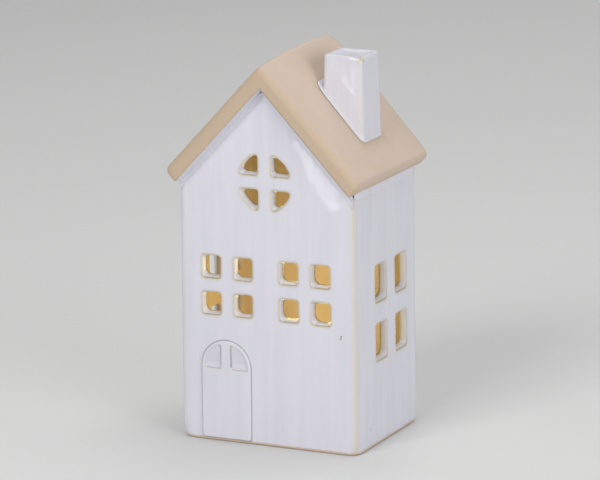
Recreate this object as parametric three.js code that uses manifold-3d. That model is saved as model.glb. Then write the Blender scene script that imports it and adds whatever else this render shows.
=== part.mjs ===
// Light-up decorative house: glazed stoneware walls and chimney, a bare clay roof, and a
// battery light unit that pushes up into an opening in the floor.
// Millimetres. The front faces -Y, +X is to the viewer's right and +Z is up. The origin
// lies on the table under the middle of the house.

import * as THREE from 'three';
import { mergeVertices } from 'three/addons/utils/BufferGeometryUtils.js';
import Module from 'manifold-3d';

const wasm = await Module();
wasm.setup();

// Clearance between pieces that touch on the real object
const GAP = 0.3;

// Walls
const WALL_WIDTH = 90;
const WALL_DEPTH = 69.2;
const WALL_HEIGHT = 120.6;
const WALL_THICKNESS = 4.4;
const WALL_DRAFT = 0.0048;
const WALL_CORNER_RADIUS = 2.2;
const FOOT_ROUND = 1.2;
const FOOT_RECESS = 5.4;
const FLOOR_THICKNESS = 4.4;
const COVE_RADIUS = 1.7;

// Roof slab
const ROOF_PITCH = THREE.MathUtils.degToRad(46.76);
const ROOF_THICKNESS = 8.2;
const ROOF_EAVE_OVERHANG = 4.9;
const ROOF_GABLE_OVERHANG = 5.2;
const ROOF_EDGE_RADIUS = 2.2;
const ROOF_END_ROUND = 1.9;
const RIDGE_RADIUS = 3;
const RIDGE_CROWN = 3.4;
const RIDGE_CROWN_CENTRE = 16.2;

// Chimney
const CHIMNEY_SETBACK = 21.77;
const CHIMNEY_Y = 1.2;
const CHIMNEY_TOP_WIDTH = 17.8;
const CHIMNEY_TOP_DEPTH = 17.4;
const CHIMNEY_TOP_RISE = 0.85;
const CHIMNEY_DRAFT = 0.0315;
const CHIMNEY_CORNER_RADIUS = 1.6;
const CHIMNEY_EDGE_ROUND = 1.2;
const CHIMNEY_RIM = 2.6;
const CHIMNEY_DISH_DEPTH = 1.5;
const CHIMNEY_FLANGE_REACH = 1.3;
const CHIMNEY_FLANGE_UPHILL = 3.2;
const CHIMNEY_FLANGE_THICKNESS = 1.2;

// Front windows, two blocks of four panes, set a little to the left of the wall's middle
const FACADE_SHIFT = -0.8;
const PANE_WIDTH = 9.9;
const PANE_HEIGHT = 10.8;
const PANE_CORNER_RADIUS = 1.8;
const PANE_PITCH_X = 16.1;
const PANE_PITCH_Z = 17.4;
const PANE_BLOCK_SPREAD = 39.4;
const PANE_BLOCK_Z = 74.4;
const PANE_RIM_RADIUS = 0.9;

// Round gable window, in four quarters; it rises from the eaves' level
const ROUND_WINDOW_RADIUS = 13.7;
const ROUND_WINDOW_RISE = 3.9;
const ROUND_WINDOW_BAR = 6.4;
const ROUND_WINDOW_CORNER_RADIUS = 1.4;

// Side windows, four panes in each side wall, set towards the back
const SIDE_PANE_WIDTH = 12.5;
const SIDE_PANE_HEIGHT = 17.7;
const SIDE_PANE_PITCH_Y = 22.2;
const SIDE_PANE_PITCH_Z = 27.6;
const SIDE_PANE_CENTRE_Y = 5;
const SIDE_PANE_CENTRE_Z = 62.2;

// House door in low relief, with two sunk lights in its round head
const DOOR_OFFSET = -20.4;
const DOOR_WIDTH = 25.8;
const DOOR_SPRING_Z = 35.9;
const DOOR_RELIEF = 0.9;
const DOOR_EDGE_ROUND = 0.6;
const DOOR_BAR = 5.5;
const DOOR_PANE_MARGIN = 1.6;
const DOOR_PANE_SILL_Z = 35;
const DOOR_PANE_DEPTH = 1.1;
const DOOR_PANE_SHALLOW = 0.2;

// Two AAA cells, side by side and head to tail
const CELL_DIAMETER = 10.5;
const CELL_LENGTH = 44.5;
const CELL_EDGE = 0.4;
const CELL_NUB_DIAMETER = 3.8;
const CELL_NUB_LENGTH = 0.9;
const CELL_SIDE_GAP = 0.7;
const CELL_HEADROOM = 0.4;

// Battery contacts
const CONTACT_THICKNESS = 0.5;
const CONTACT_WIDTH = 8.6;
const CONTACT_HEIGHT = 9.2;
const CONTACT_TAB_WIDTH = 2.4;
const CONTACT_TAB_RISE = 1.6;
const SPRING_LENGTH = 4.6;
const SPRING_WIRE = 0.6;
const SPRING_TURNS = 3.5;
const SPRING_BASE_RADIUS = 3.4;
const SPRING_TIP_RADIUS = 2;

// Housing of the light unit
const HOUSING_WALL = 1.8;
const HOUSING_CORNER_RADIUS = 2.4;
const FLANGE_THICKNESS = 3.4;
const FLANGE_LAP = 2.4;
const FLANGE_EDGE_ROUND = 0.5;
const DECK_THICKNESS = 1.8;
const CHAMBER_HEIGHT = 6;
const SWITCH_BAY_WIDTH = 9.2;

// Rubber ring that grips the floor's opening
const GRIP_RING_THICKNESS = 1.6;
const GRIP_RING_HEIGHT = 5.2;
const GRIP_LIP_REACH = 0.5;
const GRIP_LIP_HEIGHT = 1;

// Lid of the light unit and its screws
const LID_THICKNESS = 1.8;
const LID_EDGE_ROUND = 0.5;
const LID_COLLAR_HEIGHT = 1.4;
const LID_SEAT_DEPTH = 0.7;
const LID_BOSS_RADIUS = 2.3;
const LID_SCREW_HEAD_RADIUS = 1.9;
const LID_SCREW_HEAD_HEIGHT = 1.3;
const LID_SCREW_RADIUS = 0.9;
const LID_SCREW_LENGTH = 5;

// Battery hatch, on two moulded pins, with its screw
const HATCH_THICKNESS = 2;
const HATCH_LAP = 1.2;
const HATCH_AXIS_SETBACK = 2.65;
const HATCH_PIN_RADIUS = 0.8;
const HATCH_PIN_LENGTH = 2;
const HATCH_LOBE_RADIUS = 3.8;
const HATCH_RIB_COUNT = 5;
const HATCH_RIB_LENGTH = 14;
const HATCH_RIB_DEPTH = 0.4;
const HATCH_SCREW_X = 11;
const HATCH_SCREW_INSET = 2.4;
const HATCH_SCREW_HEAD_RADIUS = 2.2;
const HATCH_SCREW_HEAD_HEIGHT = 1;
const HATCH_SCREW_RADIUS = 1;
const HATCH_SCREW_LENGTH = 5;
const HATCH_SCREW_SWING_ROOM = 0.6;
const HATCH_BOSS_WALL = 1.2;

// Slide switch
const SWITCH_X = -8;
const SWITCH_BODY_LENGTH = 8.6;
const SWITCH_BODY_WIDTH = 4.4;
const SWITCH_BODY_HEIGHT = 4.6;
const SWITCH_STOP = 1.2;
const SWITCH_PIN_PITCH = 2.5;
const SWITCH_PIN_HEIGHT = 2.6;
const SWITCH_PIN_WIDTH = 0.5;
const SWITCH_KNOB_LENGTH = 2.6;
const SWITCH_KNOB_WIDTH = 2;
const SWITCH_KNOB_ROOT = 1.6;
const SWITCH_KNOB_PROUD = 0.3;
const SWITCH_KNOB_GROOVES = 3;
const SWITCH_KNOB_GROOVE_DEPTH = 0.3;
const SWITCH_TRAVEL = 2.5;
const SWITCH_FINGER_ROOM = 1.6;
const SWITCH_FINGER_RECESS = 1.2;

// Circuit board, lamp, resistor and wires
const BOARD_LENGTH = 22;
const BOARD_WIDTH = 14;
const BOARD_THICKNESS = 1.2;
const BOARD_LIFT = 2;
const BOARD_PEG_RADIUS = 1;
const BOARD_PEG_INSET = 2.1;
const LED_RADIUS = 2.5;
const LED_FLANGE_RADIUS = 2.9;
const LED_FLANGE_HEIGHT = 1;
const LED_HEIGHT = 8.6;
const LED_LEG_PITCH = 2.54;
const LED_LEG_WIDTH = 0.5;
const RESISTOR_X = 5.6;
const RESISTOR_RADIUS = 1.1;
const RESISTOR_LENGTH = 6.3;
const RESISTOR_LEG_PITCH = 9;
const RESISTOR_LEG_RADIUS = 0.3;
const LEG_TRIM = 1.1;
const WIRE_RADIUS = 0.6;

// How far a cutter runs past the face that it cuts
const OVERRUN = 2;

// Fineness of round edges, tubes and the crowned roof; an arc has two facets per step
const ARC_STEPS = 2;
const EDGE_STEPS = 2;
const CIRCLE_STEPS = 16;
const SCREW_STEPS = 12;
const CROWN_STEPS = 12;
const WIRE_ARC_STEPS = 4;
const WIRE_STEPS = 20;
const SPRING_ARC_STEPS = 3;
const SPRING_STEPS_PER_TURN = 12;
const RESISTOR_LEG_STEPS = 8;

// Levels and places of the ceramic house that follow from its sizes
const SLOPE = Math.tan(ROOF_PITCH);
const LEVEL_GAP = GAP / Math.cos(ROOF_PITCH);
const wallTopHalfWidth = WALL_WIDTH / 2 - WALL_DRAFT * WALL_HEIGHT;
const wallApexZ = WALL_HEIGHT + wallTopHalfWidth * SLOPE;
const undersideApexZ = wallApexZ + LEVEL_GAP;
const roofApexZ = undersideApexZ + ROOF_THICKNESS / Math.cos(ROOF_PITCH);
const roofHalfLength = WALL_DEPTH / 2 + ROOF_GABLE_OVERHANG;
const eaveTipX = wallTopHalfWidth + ROOF_EAVE_OVERHANG;
const floorTopZ = FOOT_RECESS + FLOOR_THICKNESS;
const chimneyX = eaveTipX - CHIMNEY_SETBACK;
const chimneyTopZ = roofApexZ + CHIMNEY_TOP_RISE;

// Levels and places of the light unit that follow from the cells, the walls and the clearances
const flangeTopZ = FOOT_RECESS - GAP;
const flangeBottomZ = flangeTopZ - FLANGE_THICKNESS;
const rebateTopZ = flangeBottomZ + HATCH_THICKNESS + GAP;
const bayLength = CELL_LENGTH + SPRING_LENGTH + 2 * CONTACT_THICKNESS + 5 * GAP;
const bayWidth = 2 * CELL_DIAMETER + 3 * CELL_SIDE_GAP;
const bayTopZ = rebateTopZ + CELL_DIAMETER + 2 * CELL_HEADROOM;
const deckTopZ = bayTopZ + DECK_THICKNESS;
const housingTopZ = deckTopZ + CHAMBER_HEIGHT;
const housingLength = bayLength + 2 * HOUSING_WALL;
const housingWidth = bayWidth + SWITCH_BAY_WIDTH + 3 * HOUSING_WALL;
const openingLength = housingLength + 2 * (GRIP_RING_THICKNESS + 2 * GAP);
const openingWidth = housingWidth + 2 * (GRIP_RING_THICKNESS + 2 * GAP);
const openingCornerRadius = HOUSING_CORNER_RADIUS + GRIP_RING_THICKNESS + GAP;
const bayCentreY = -housingWidth / 2 + HOUSING_WALL + bayWidth / 2;
const switchY = housingWidth / 2 - HOUSING_WALL - SWITCH_BAY_WIDTH / 2;
const cellZ = rebateTopZ + CELL_HEADROOM + CELL_DIAMETER / 2;
const cellYs = [-0.5, 0.5].map((side) => bayCentreY + side * (CELL_DIAMETER + CELL_SIDE_GAP));
const contactX = bayLength / 2 - GAP - CONTACT_THICKNESS / 2;
const contactFaceX = contactX - CONTACT_THICKNESS / 2 - GAP;
const contactTabTopZ = deckTopZ + CONTACT_TAB_RISE;
const lidLowZ = housingTopZ + GAP;
const lidTopZ = lidLowZ + LID_THICKNESS;
const lidBossInset = LID_BOSS_RADIUS - GAP;
const lidScrewPlaces = [-1, 1].flatMap((side) => [
  [side * (bayLength / 2 - lidBossInset), -housingWidth / 2 + HOUSING_WALL + lidBossInset, deckTopZ - 1],
  [side * (bayLength / 2 - lidBossInset), housingWidth / 2 - HOUSING_WALL - lidBossInset, flangeTopZ - 1],
]);
const hatchBarrelRadius = HATCH_THICKNESS / 2;
const hatchAxisY = bayCentreY - bayWidth / 2 - HATCH_AXIS_SETBACK;
const hatchAxisZ = flangeBottomZ + hatchBarrelRadius;
const hatchHalfLength = bayLength / 2 + HATCH_LAP;
const hatchPinEndX = hatchHalfLength + HATCH_PIN_LENGTH;
const hatchFarY = bayCentreY + bayWidth / 2 + HATCH_LAP;
const hatchScrewY = bayCentreY + bayWidth / 2 + HOUSING_WALL + HATCH_SCREW_INSET;
const hatchScrewSeatZ = flangeBottomZ + HATCH_SCREW_HEAD_HEIGHT;
const hatchScrewTipZ = hatchScrewSeatZ + HATCH_SCREW_LENGTH;
const hatchScrewRoom = HATCH_SCREW_RADIUS + HATCH_SCREW_SWING_ROOM;
const hatchBossRadius = hatchScrewRoom + HATCH_BOSS_WALL;
const switchLowZ = flangeTopZ + GAP;
const switchPinTopZ = switchLowZ + SWITCH_BODY_HEIGHT + SWITCH_PIN_HEIGHT;
const switchPinXs = [-1, 0, 1].map((step) => SWITCH_X + step * SWITCH_PIN_PITCH);
const switchOnX = SWITCH_X + SWITCH_TRAVEL / 2;
const switchSlotLength = SWITCH_KNOB_LENGTH + SWITCH_TRAVEL + 2 * GAP;
const switchSlotWidth = SWITCH_KNOB_WIDTH + 2 * GAP;
const boardLowZ = deckTopZ + BOARD_LIFT;
const boardTopZ = boardLowZ + BOARD_THICKNESS;
const boardPegXs = [-1, 1].map((side) => side * (BOARD_LENGTH / 2 - BOARD_PEG_INSET));
const ledLowZ = boardTopZ + GAP;
const legLowZ = boardLowZ - LEG_TRIM;

// Moulded and fired materials
const glaze = new THREE.MeshStandardMaterial({ color: 0xe4e3ea, roughness: 0.15, metalness: 0 });
const clay = new THREE.MeshStandardMaterial({ color: 0xcdb9a2, roughness: 0.9, metalness: 0 });
const abs = new THREE.MeshStandardMaterial({ color: 0xe9e7e0, roughness: 0.45, metalness: 0 });
const blackPlastic = new THREE.MeshStandardMaterial({ color: 0x1d1d1f, roughness: 0.5, metalness: 0 });
const siliconeRubber = new THREE.MeshStandardMaterial({ color: 0xc9c8c4, roughness: 0.7, metalness: 0 });
const zincSteel = new THREE.MeshStandardMaterial({ color: 0xb9bbbd, roughness: 0.35, metalness: 1 });
const nickelStrip = new THREE.MeshStandardMaterial({ color: 0xcfcbc0, roughness: 0.25, metalness: 1 });
const boardGreen = new THREE.MeshStandardMaterial({ color: 0x2e6b3c, roughness: 0.5, metalness: 0 });
const warmLens = new THREE.MeshStandardMaterial({ color: 0xf2c56b, roughness: 0.2, metalness: 0 });
const resistorTan = new THREE.MeshStandardMaterial({ color: 0xc9a574, roughness: 0.5, metalness: 0 });
const cellWrap = new THREE.MeshStandardMaterial({ color: 0x3d4650, roughness: 0.35, metalness: 0.3 });
const redWire = new THREE.MeshStandardMaterial({ color: 0xb3261e, roughness: 0.5, metalness: 0 });
const blackWire = new THREE.MeshStandardMaterial({ color: 0x18181a, roughness: 0.5, metalness: 0 });

const house = new THREE.Group();

// Turns a closed geometry into a solid that can be joined and cut
function solidOf(geometry) {
  const bare = geometry.clone();
  bare.deleteAttribute('normal');
  bare.deleteAttribute('uv');
  const merged = mergeVertices(bare, 1e-4);
  const kept = [];
  for (let i = 0; i < merged.index.count; i += 3) {
    const [a, b, c] = [merged.index.getX(i), merged.index.getX(i + 1), merged.index.getX(i + 2)];
    if (a !== b && b !== c && c !== a) {
      kept.push(a, b, c);
    }
  }
  const vertProperties = new Float32Array(merged.attributes.position.array);
  const triVerts = new Uint32Array(kept);
  return new wasm.Manifold(new wasm.Mesh({ numProp: 3, vertProperties, triVerts }));
}

// Turns a solid back into a geometry
function geometryOf(solid) {
  const mesh = solid.getMesh();
  const geometry = new THREE.BufferGeometry();
  geometry.setAttribute('position', new THREE.BufferAttribute(new Float32Array(mesh.vertProperties), 3));
  geometry.setIndex(new THREE.BufferAttribute(new Uint32Array(mesh.triVerts), 1));
  geometry.computeVertexNormals();
  return geometry;
}

function joined(first, ...others) {
  return others.reduce((whole, solid) => whole.add(solid), first);
}

function cut(first, ...cutters) {
  return cutters.reduce((rest, cutter) => rest.subtract(cutter), first);
}

function addPiece(name, solid, material) {
  const mesh = new THREE.Mesh(geometryOf(solid), material);
  mesh.name = name;
  house.add(mesh);
}

// Outline through the corners [x, y, radius], anticlockwise, each corner rounded by its radius
function roundedOutline(corners) {
  const shape = new THREE.Shape();
  corners.forEach(([x, y, radius], i) => {
    const corner = new THREE.Vector2(x, y);
    const [beforeX, beforeY] = corners[(i + corners.length - 1) % corners.length];
    const [afterX, afterY] = corners[(i + 1) % corners.length];
    const back = new THREE.Vector2(beforeX, beforeY).sub(corner).normalize();
    const ahead = new THREE.Vector2(afterX, afterY).sub(corner).normalize();
    const halfAngle = Math.acos(THREE.MathUtils.clamp(back.dot(ahead), -1, 1)) / 2;
    const start = corner.clone().addScaledVector(back, radius / Math.tan(halfAngle));
    if (i === 0) {
      shape.moveTo(start.x, start.y);
    } else {
      shape.lineTo(start.x, start.y);
    }
    if (radius > 0) {
      const end = corner.clone().addScaledVector(ahead, radius / Math.tan(halfAngle));
      const inward = back.clone().add(ahead).normalize();
      const centre = corner.clone().addScaledVector(inward, radius / Math.sin(halfAngle));
      const startAngle = Math.atan2(start.y - centre.y, start.x - centre.x);
      const endAngle = Math.atan2(end.y - centre.y, end.x - centre.x);
      const hollow = back.cross(ahead) > 0;
      shape.absarc(centre.x, centre.y, radius, startAngle, endAngle, hollow);
    }
  });
  return shape;
}

function roundedRectangle(width, height, radius, x = 0, y = 0) {
  const [halfWidth, halfHeight] = [width / 2, height / 2];
  return roundedOutline([
    [x - halfWidth, y - halfHeight, radius],
    [x + halfWidth, y - halfHeight, radius],
    [x + halfWidth, y + halfHeight, radius],
    [x - halfWidth, y + halfHeight, radius],
  ]);
}

// Corner points of an outline, each place once
function outlinePoints(shape, arcSteps = ARC_STEPS) {
  const points = shape.getPoints(arcSteps);
  return points.filter((point, i) => point.distanceTo(points[(i + 1) % points.length]) > 1e-4);
}

// Extrudes an outline upwards between two levels, with rounded end edges where asked
function upright(shape, low, high, edge = 0, steps = 1) {
  const geometry = new THREE.ExtrudeGeometry(shape, {
    depth: high - low - 2 * edge,
    steps,
    curveSegments: ARC_STEPS,
    bevelEnabled: edge > 0,
    bevelThickness: edge,
    bevelSize: edge,
    bevelOffset: -edge,
    bevelSegments: EDGE_STEPS,
  });
  return geometry.translate(0, 0, low + edge);
}

function uprightSolid(shape, low, high, edge = 0) {
  return solidOf(upright(shape, low, high, edge));
}

function block(width, depth, low, high, x = 0, y = 0) {
  const geometry = new THREE.BoxGeometry(width, depth, high - low);
  return solidOf(geometry.translate(x, y, (low + high) / 2));
}

// Round post or hole between two levels
function post(radius, low, high, x = 0, y = 0) {
  const geometry = new THREE.CylinderGeometry(radius, radius, high - low, CIRCLE_STEPS);
  return solidOf(geometry.rotateX(Math.PI / 2).translate(x, y, (low + high) / 2));
}

// Round bar or hole along X between two places
function barAlongX(radius, from, to, y, z) {
  const geometry = new THREE.CylinderGeometry(radius, radius, to - from, CIRCLE_STEPS);
  return solidOf(geometry.rotateZ(Math.PI / 2).translate((from + to) / 2, y, z));
}

// Round tube along a path
function tube(path, radius, steps, arcSteps) {
  const ring = new THREE.Shape();
  ring.absarc(0, 0, radius, 0, 2 * Math.PI, false);
  return solidOf(new THREE.ExtrudeGeometry(new THREE.Shape(outlinePoints(ring, arcSteps)), {
    steps,
    extrudePath: path,
    bevelEnabled: false,
  }));
}

// Moves every vertex by a rule
function reshaped(geometry, rule) {
  const positions = geometry.attributes.position;
  const point = new THREE.Vector3();
  for (let i = 0; i < positions.count; i += 1) {
    point.fromBufferAttribute(positions, i);
    rule(point);
    positions.setXYZ(i, point.x, point.y, point.z);
  }
  return geometry;
}

// An extrusion whose outline was drawn upright: drawn x and y become X and Z, depth goes to -Y
function towardsFront(geometry) {
  return geometry.rotateX(Math.PI / 2);
}

// Drawn x and y become Y and Z, and the depth goes to +X
function towardsRight(geometry) {
  return geometry.rotateX(Math.PI / 2).rotateZ(Math.PI / 2);
}

// Skin through rings of points, each ring convex and anticlockwise seen from the last one
function lofted(rings) {
  const count = rings[0].length;
  const positions = rings.flat().flatMap((point) => point.toArray());
  const faces = [];
  for (let level = 0; level + 1 < rings.length; level += 1) {
    for (let i = 0; i < count; i += 1) {
      const [a, b] = [level * count + i, level * count + ((i + 1) % count)];
      faces.push(a, b, b + count, a, b + count, a + count);
    }
  }
  const last = (rings.length - 1) * count;
  for (let i = 1; i + 1 < count; i += 1) {
    faces.push(0, i + 1, i, last, last + i, last + i + 1);
  }
  const geometry = new THREE.BufferGeometry();
  geometry.setAttribute('position', new THREE.Float32BufferAttribute(positions, 3));
  geometry.setIndex(faces);
  return geometry;
}

// Walls: a leaning shell with a floor, open above, cut to the roof's slope

function leaningBlock(inset, low, high, radius, edge = 0) {
  const outline = roundedRectangle(WALL_WIDTH - 2 * inset, WALL_DEPTH - 2 * inset, radius);
  return solidOf(reshaped(upright(outline, low, high, edge), (point) => {
    point.x -= Math.sign(point.x) * WALL_DRAFT * point.z;
    point.y -= Math.sign(point.y) * WALL_DRAFT * point.z;
  }));
}

// Everything below a pitched line with the given apex, across the whole house
function underPitch(apexZ) {
  const reach = wallTopHalfWidth + ROOF_EAVE_OVERHANG;
  const shape = roundedOutline([
    [-reach, -1, 0],
    [reach, -1, 0],
    [reach, apexZ - reach * SLOPE, 0],
    [0, apexZ, 0],
    [-reach, apexZ - reach * SLOPE, 0],
  ]);
  const geometry = upright(shape, -roofHalfLength, roofHalfLength);
  return solidOf(towardsFront(geometry));
}

// Moves a geometry made for a face at y = 0 onto a wall, following the wall's lean
function ontoWall(geometry, wall, shift) {
  reshaped(geometry, (point) => {
    point.y += WALL_DRAFT * point.z;
  });
  if (wall === 'front') {
    return solidOf(geometry.translate(shift, -WALL_DEPTH / 2, 0));
  }
  const side = wall === 'right' ? 1 : -1;
  return solidOf(geometry.rotateZ((side * Math.PI) / 2).translate((side * WALL_WIDTH) / 2, shift, 0));
}

// One pane's cutter: straight through the wall, flared in a quarter round at the outside
function paneCutter(outlineGrownBy, centreZ) {
  const levels = [[-WALL_THICKNESS - OVERRUN, 0]];
  for (let step = 0; step <= EDGE_STEPS; step += 1) {
    const angle = (step / EDGE_STEPS) * (Math.PI / 2);
    levels.push([PANE_RIM_RADIUS * (Math.sin(angle) - 1), PANE_RIM_RADIUS * (1 - Math.cos(angle))]);
  }
  levels.push([OVERRUN, PANE_RIM_RADIUS]);
  const rings = levels.map(([depth, growth]) => {
    const points = outlinePoints(outlineGrownBy(growth));
    return points.map((point) => new THREE.Vector3(point.x, point.y + centreZ, depth));
  });
  return towardsFront(lofted(rings));
}

function rectangularPane(width, height, centreZ) {
  const outline = (by) => roundedRectangle(width + 2 * by, height + 2 * by, PANE_CORNER_RADIUS + by);
  return paneCutter(outline, centreZ);
}

// One quarter of the round window about its centre, grown by an amount and turned in place
function quarterOutline(by, turn) {
  const inner = ROUND_WINDOW_BAR / 2 - by;
  const radius = ROUND_WINDOW_RADIUS + by;
  const corner = ROUND_WINDOW_CORNER_RADIUS + by;
  const centreOut = Math.sqrt((radius - corner) ** 2 - (inner + corner) ** 2);
  const touch = Math.atan2(inner + corner, centreOut);
  const shape = new THREE.Shape();
  shape.absarc(centreOut, inner + corner, corner, -Math.PI / 2, touch, false);
  shape.absarc(0, 0, radius, touch, Math.PI / 2 - touch, false);
  shape.absarc(inner + corner, centreOut, corner, Math.PI / 2 - touch, Math.PI, false);
  shape.absarc(inner + corner, inner + corner, corner, Math.PI, 1.5 * Math.PI, false);
  const centre = new THREE.Vector2();
  return new THREE.Shape(outlinePoints(shape).map((point) => point.rotateAround(centre, turn)));
}

function windowCutters() {
  const cutters = [0, 1, 2, 3].map((quarter) => {
    const outline = (by) => quarterOutline(by, (quarter * Math.PI) / 2);
    return ontoWall(paneCutter(outline, WALL_HEIGHT + ROUND_WINDOW_RISE), 'front', FACADE_SHIFT);
  });
  for (const row of [-0.5, 0.5]) {
    const frontZ = PANE_BLOCK_Z + row * PANE_PITCH_Z;
    const sideZ = SIDE_PANE_CENTRE_Z + row * SIDE_PANE_PITCH_Z;
    for (const column of [-0.5, 0.5]) {
      for (const half of [-0.5, 0.5]) {
        const x = FACADE_SHIFT + half * PANE_BLOCK_SPREAD + column * PANE_PITCH_X;
        cutters.push(ontoWall(rectangularPane(PANE_WIDTH, PANE_HEIGHT, frontZ), 'front', x));
      }
      for (const wall of ['left', 'right']) {
        const y = SIDE_PANE_CENTRE_Y + column * SIDE_PANE_PITCH_Y;
        cutters.push(ontoWall(rectangularPane(SIDE_PANE_WIDTH, SIDE_PANE_HEIGHT, sideZ), wall, y));
      }
    }
  }
  return cutters;
}

// Round-headed door panel standing a little proud of the front wall
function doorPanel() {
  const shape = new THREE.Shape();
  shape.moveTo(-DOOR_WIDTH / 2, FOOT_ROUND);
  shape.lineTo(DOOR_WIDTH / 2, FOOT_ROUND);
  shape.absarc(0, DOOR_SPRING_Z, DOOR_WIDTH / 2, 0, Math.PI, false);
  const geometry = new THREE.ExtrudeGeometry(shape, {
    depth: WALL_THICKNESS / 2 + DOOR_RELIEF - 2 * DOOR_EDGE_ROUND,
    curveSegments: 5 * ARC_STEPS,
    bevelThickness: DOOR_EDGE_ROUND,
    bevelSize: DOOR_EDGE_ROUND,
    bevelOffset: -DOOR_EDGE_ROUND,
    bevelSegments: EDGE_STEPS,
  });
  towardsFront(geometry.translate(0, 0, DOOR_EDGE_ROUND - WALL_THICKNESS / 2));
  return ontoWall(geometry, 'front', FACADE_SHIFT + DOOR_OFFSET);
}

// Sunk light in the door's head, deeper beside the middle bar than under the arch
function doorPaneCutter(side) {
  const inner = DOOR_BAR / 2;
  const radius = DOOR_WIDTH / 2 - DOOR_PANE_MARGIN;
  const sill = DOOR_PANE_SILL_Z - DOOR_SPRING_Z;
  const outer = Math.sqrt(radius ** 2 - sill ** 2);
  const shape = new THREE.Shape();
  shape.moveTo(inner, sill);
  shape.absarc(0, 0, radius, Math.atan2(sill, outer), Math.acos(inner / radius), false);
  const points = shape.getPoints(4 * ARC_STEPS);
  const outline = new THREE.Shape(points.map((point) => new THREE.Vector2(side * point.x, point.y)));
  const geometry = new THREE.ExtrudeGeometry(outline, {
    depth: 2 * DOOR_PANE_DEPTH,
    bevelEnabled: false,
  });
  reshaped(towardsFront(geometry), (point) => {
    const across = (Math.abs(point.x) - inner) / (outer - inner);
    point.y += THREE.MathUtils.lerp(DOOR_PANE_DEPTH, DOOR_PANE_SHALLOW, across) - DOOR_RELIEF;
    point.z += DOOR_SPRING_Z;
  });
  return ontoWall(geometry, 'front', FACADE_SHIFT + DOOR_OFFSET);
}

// Hollow fillet between a gable wall and the roof's underside; face is -1 at the front and
// side is 1 on the right slope
function gableCove(face, side) {
  const shape = new THREE.Shape();
  shape.moveTo(COVE_RADIUS, 0);
  shape.lineTo(-WALL_THICKNESS / 2, 0);
  shape.lineTo(-WALL_THICKNESS / 2, -COVE_RADIUS);
  shape.lineTo(0, -COVE_RADIUS);
  shape.absarc(COVE_RADIUS, -COVE_RADIUS, COVE_RADIUS, Math.PI, Math.PI / 2, true);
  const outline = outlinePoints(shape).map((point) => new THREE.Vector2(face * point.x, side * point.y));
  const geometry = upright(new THREE.Shape(outline), -COVE_RADIUS, wallTopHalfWidth / Math.cos(ROOF_PITCH));
  towardsRight(geometry).rotateY(side > 0 ? ROOF_PITCH : Math.PI - ROOF_PITCH).translate(0, 0, wallApexZ);
  return solidOf(reshaped(geometry, (point) => {
    point.y += face * (WALL_DEPTH / 2 - WALL_DRAFT * point.z);
  }));
}

const walls = cut(
  joined(
    leaningBlock(0, 0, roofApexZ, WALL_CORNER_RADIUS, FOOT_ROUND),
    doorPanel(),
    ...[-1, 1].flatMap((face) => [-1, 1].map((side) => gableCove(face, side))),
  ),
  leaningBlock(WALL_THICKNESS, floorTopZ, roofApexZ + 1, WALL_CORNER_RADIUS),
  leaningBlock(WALL_THICKNESS, -1, FOOT_RECESS, WALL_CORNER_RADIUS),
  uprightSolid(
    roundedRectangle(openingLength, openingWidth, openingCornerRadius),
    FOOT_RECESS - 1,
    floorTopZ + 1,
  ),
  doorPaneCutter(-1),
  doorPaneCutter(1),
  ...windowCutters(),
).intersect(underPitch(wallApexZ));
addPiece('house_walls', walls, glaze);

// Roof: a thick pitched slab with rounded edges, whose ridge rises along its length

// Raises the slab's top to its crown, none at the eaves and most on the ridge
function crowned(geometry) {
  return reshaped(geometry, (point) => {
    const underside = undersideApexZ - Math.abs(point.x) * SLOPE;
    const upward = THREE.MathUtils.clamp((point.z - underside) / (roofApexZ - undersideApexZ), 0, 1);
    const inward = Math.max(0, 1 - Math.abs(point.x) / eaveTipX);
    const along = (point.y - RIDGE_CROWN_CENTRE) / (roofHalfLength + RIDGE_CROWN_CENTRE);
    point.z += RIDGE_CROWN * (1 - along ** 2) * upward * inward;
  });
}

function roofSlab() {
  const tipZ = roofApexZ - eaveTipX * SLOPE;
  const lowX = eaveTipX - ROOF_THICKNESS * Math.sin(ROOF_PITCH);
  const lowZ = tipZ - ROOF_THICKNESS * Math.cos(ROOF_PITCH);
  const shape = roundedOutline([
    [0, undersideApexZ, 0],
    [lowX, lowZ, ROOF_EDGE_RADIUS],
    [eaveTipX, tipZ, ROOF_EDGE_RADIUS],
    [0, roofApexZ, RIDGE_RADIUS],
    [-eaveTipX, tipZ, ROOF_EDGE_RADIUS],
    [-lowX, lowZ, ROOF_EDGE_RADIUS],
  ]);
  const geometry = upright(shape, -roofHalfLength, roofHalfLength, ROOF_END_ROUND, CROWN_STEPS);
  return solidOf(crowned(towardsFront(geometry)));
}

// All the space below the roof's top, raised by an amount
function belowRoofTop(raise) {
  const tipZ = roofApexZ - eaveTipX * SLOPE;
  const shape = roundedOutline([
    [-eaveTipX, 0, 0],
    [eaveTipX, 0, 0],
    [eaveTipX, tipZ, 0],
    [0, roofApexZ, RIDGE_RADIUS],
    [-eaveTipX, tipZ, 0],
  ]);
  const geometry = upright(shape, -roofHalfLength, roofHalfLength, ROOF_END_ROUND, CROWN_STEPS);
  return solidOf(crowned(towardsFront(geometry)).translate(0, 0, raise));
}

addPiece('roof', roofSlab(), clay);

// Chimney: a tapered block with a dished top, on a thin flange bedded on the slope, which
// reaches furthest uphill and ends flush on the eave's side

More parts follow.
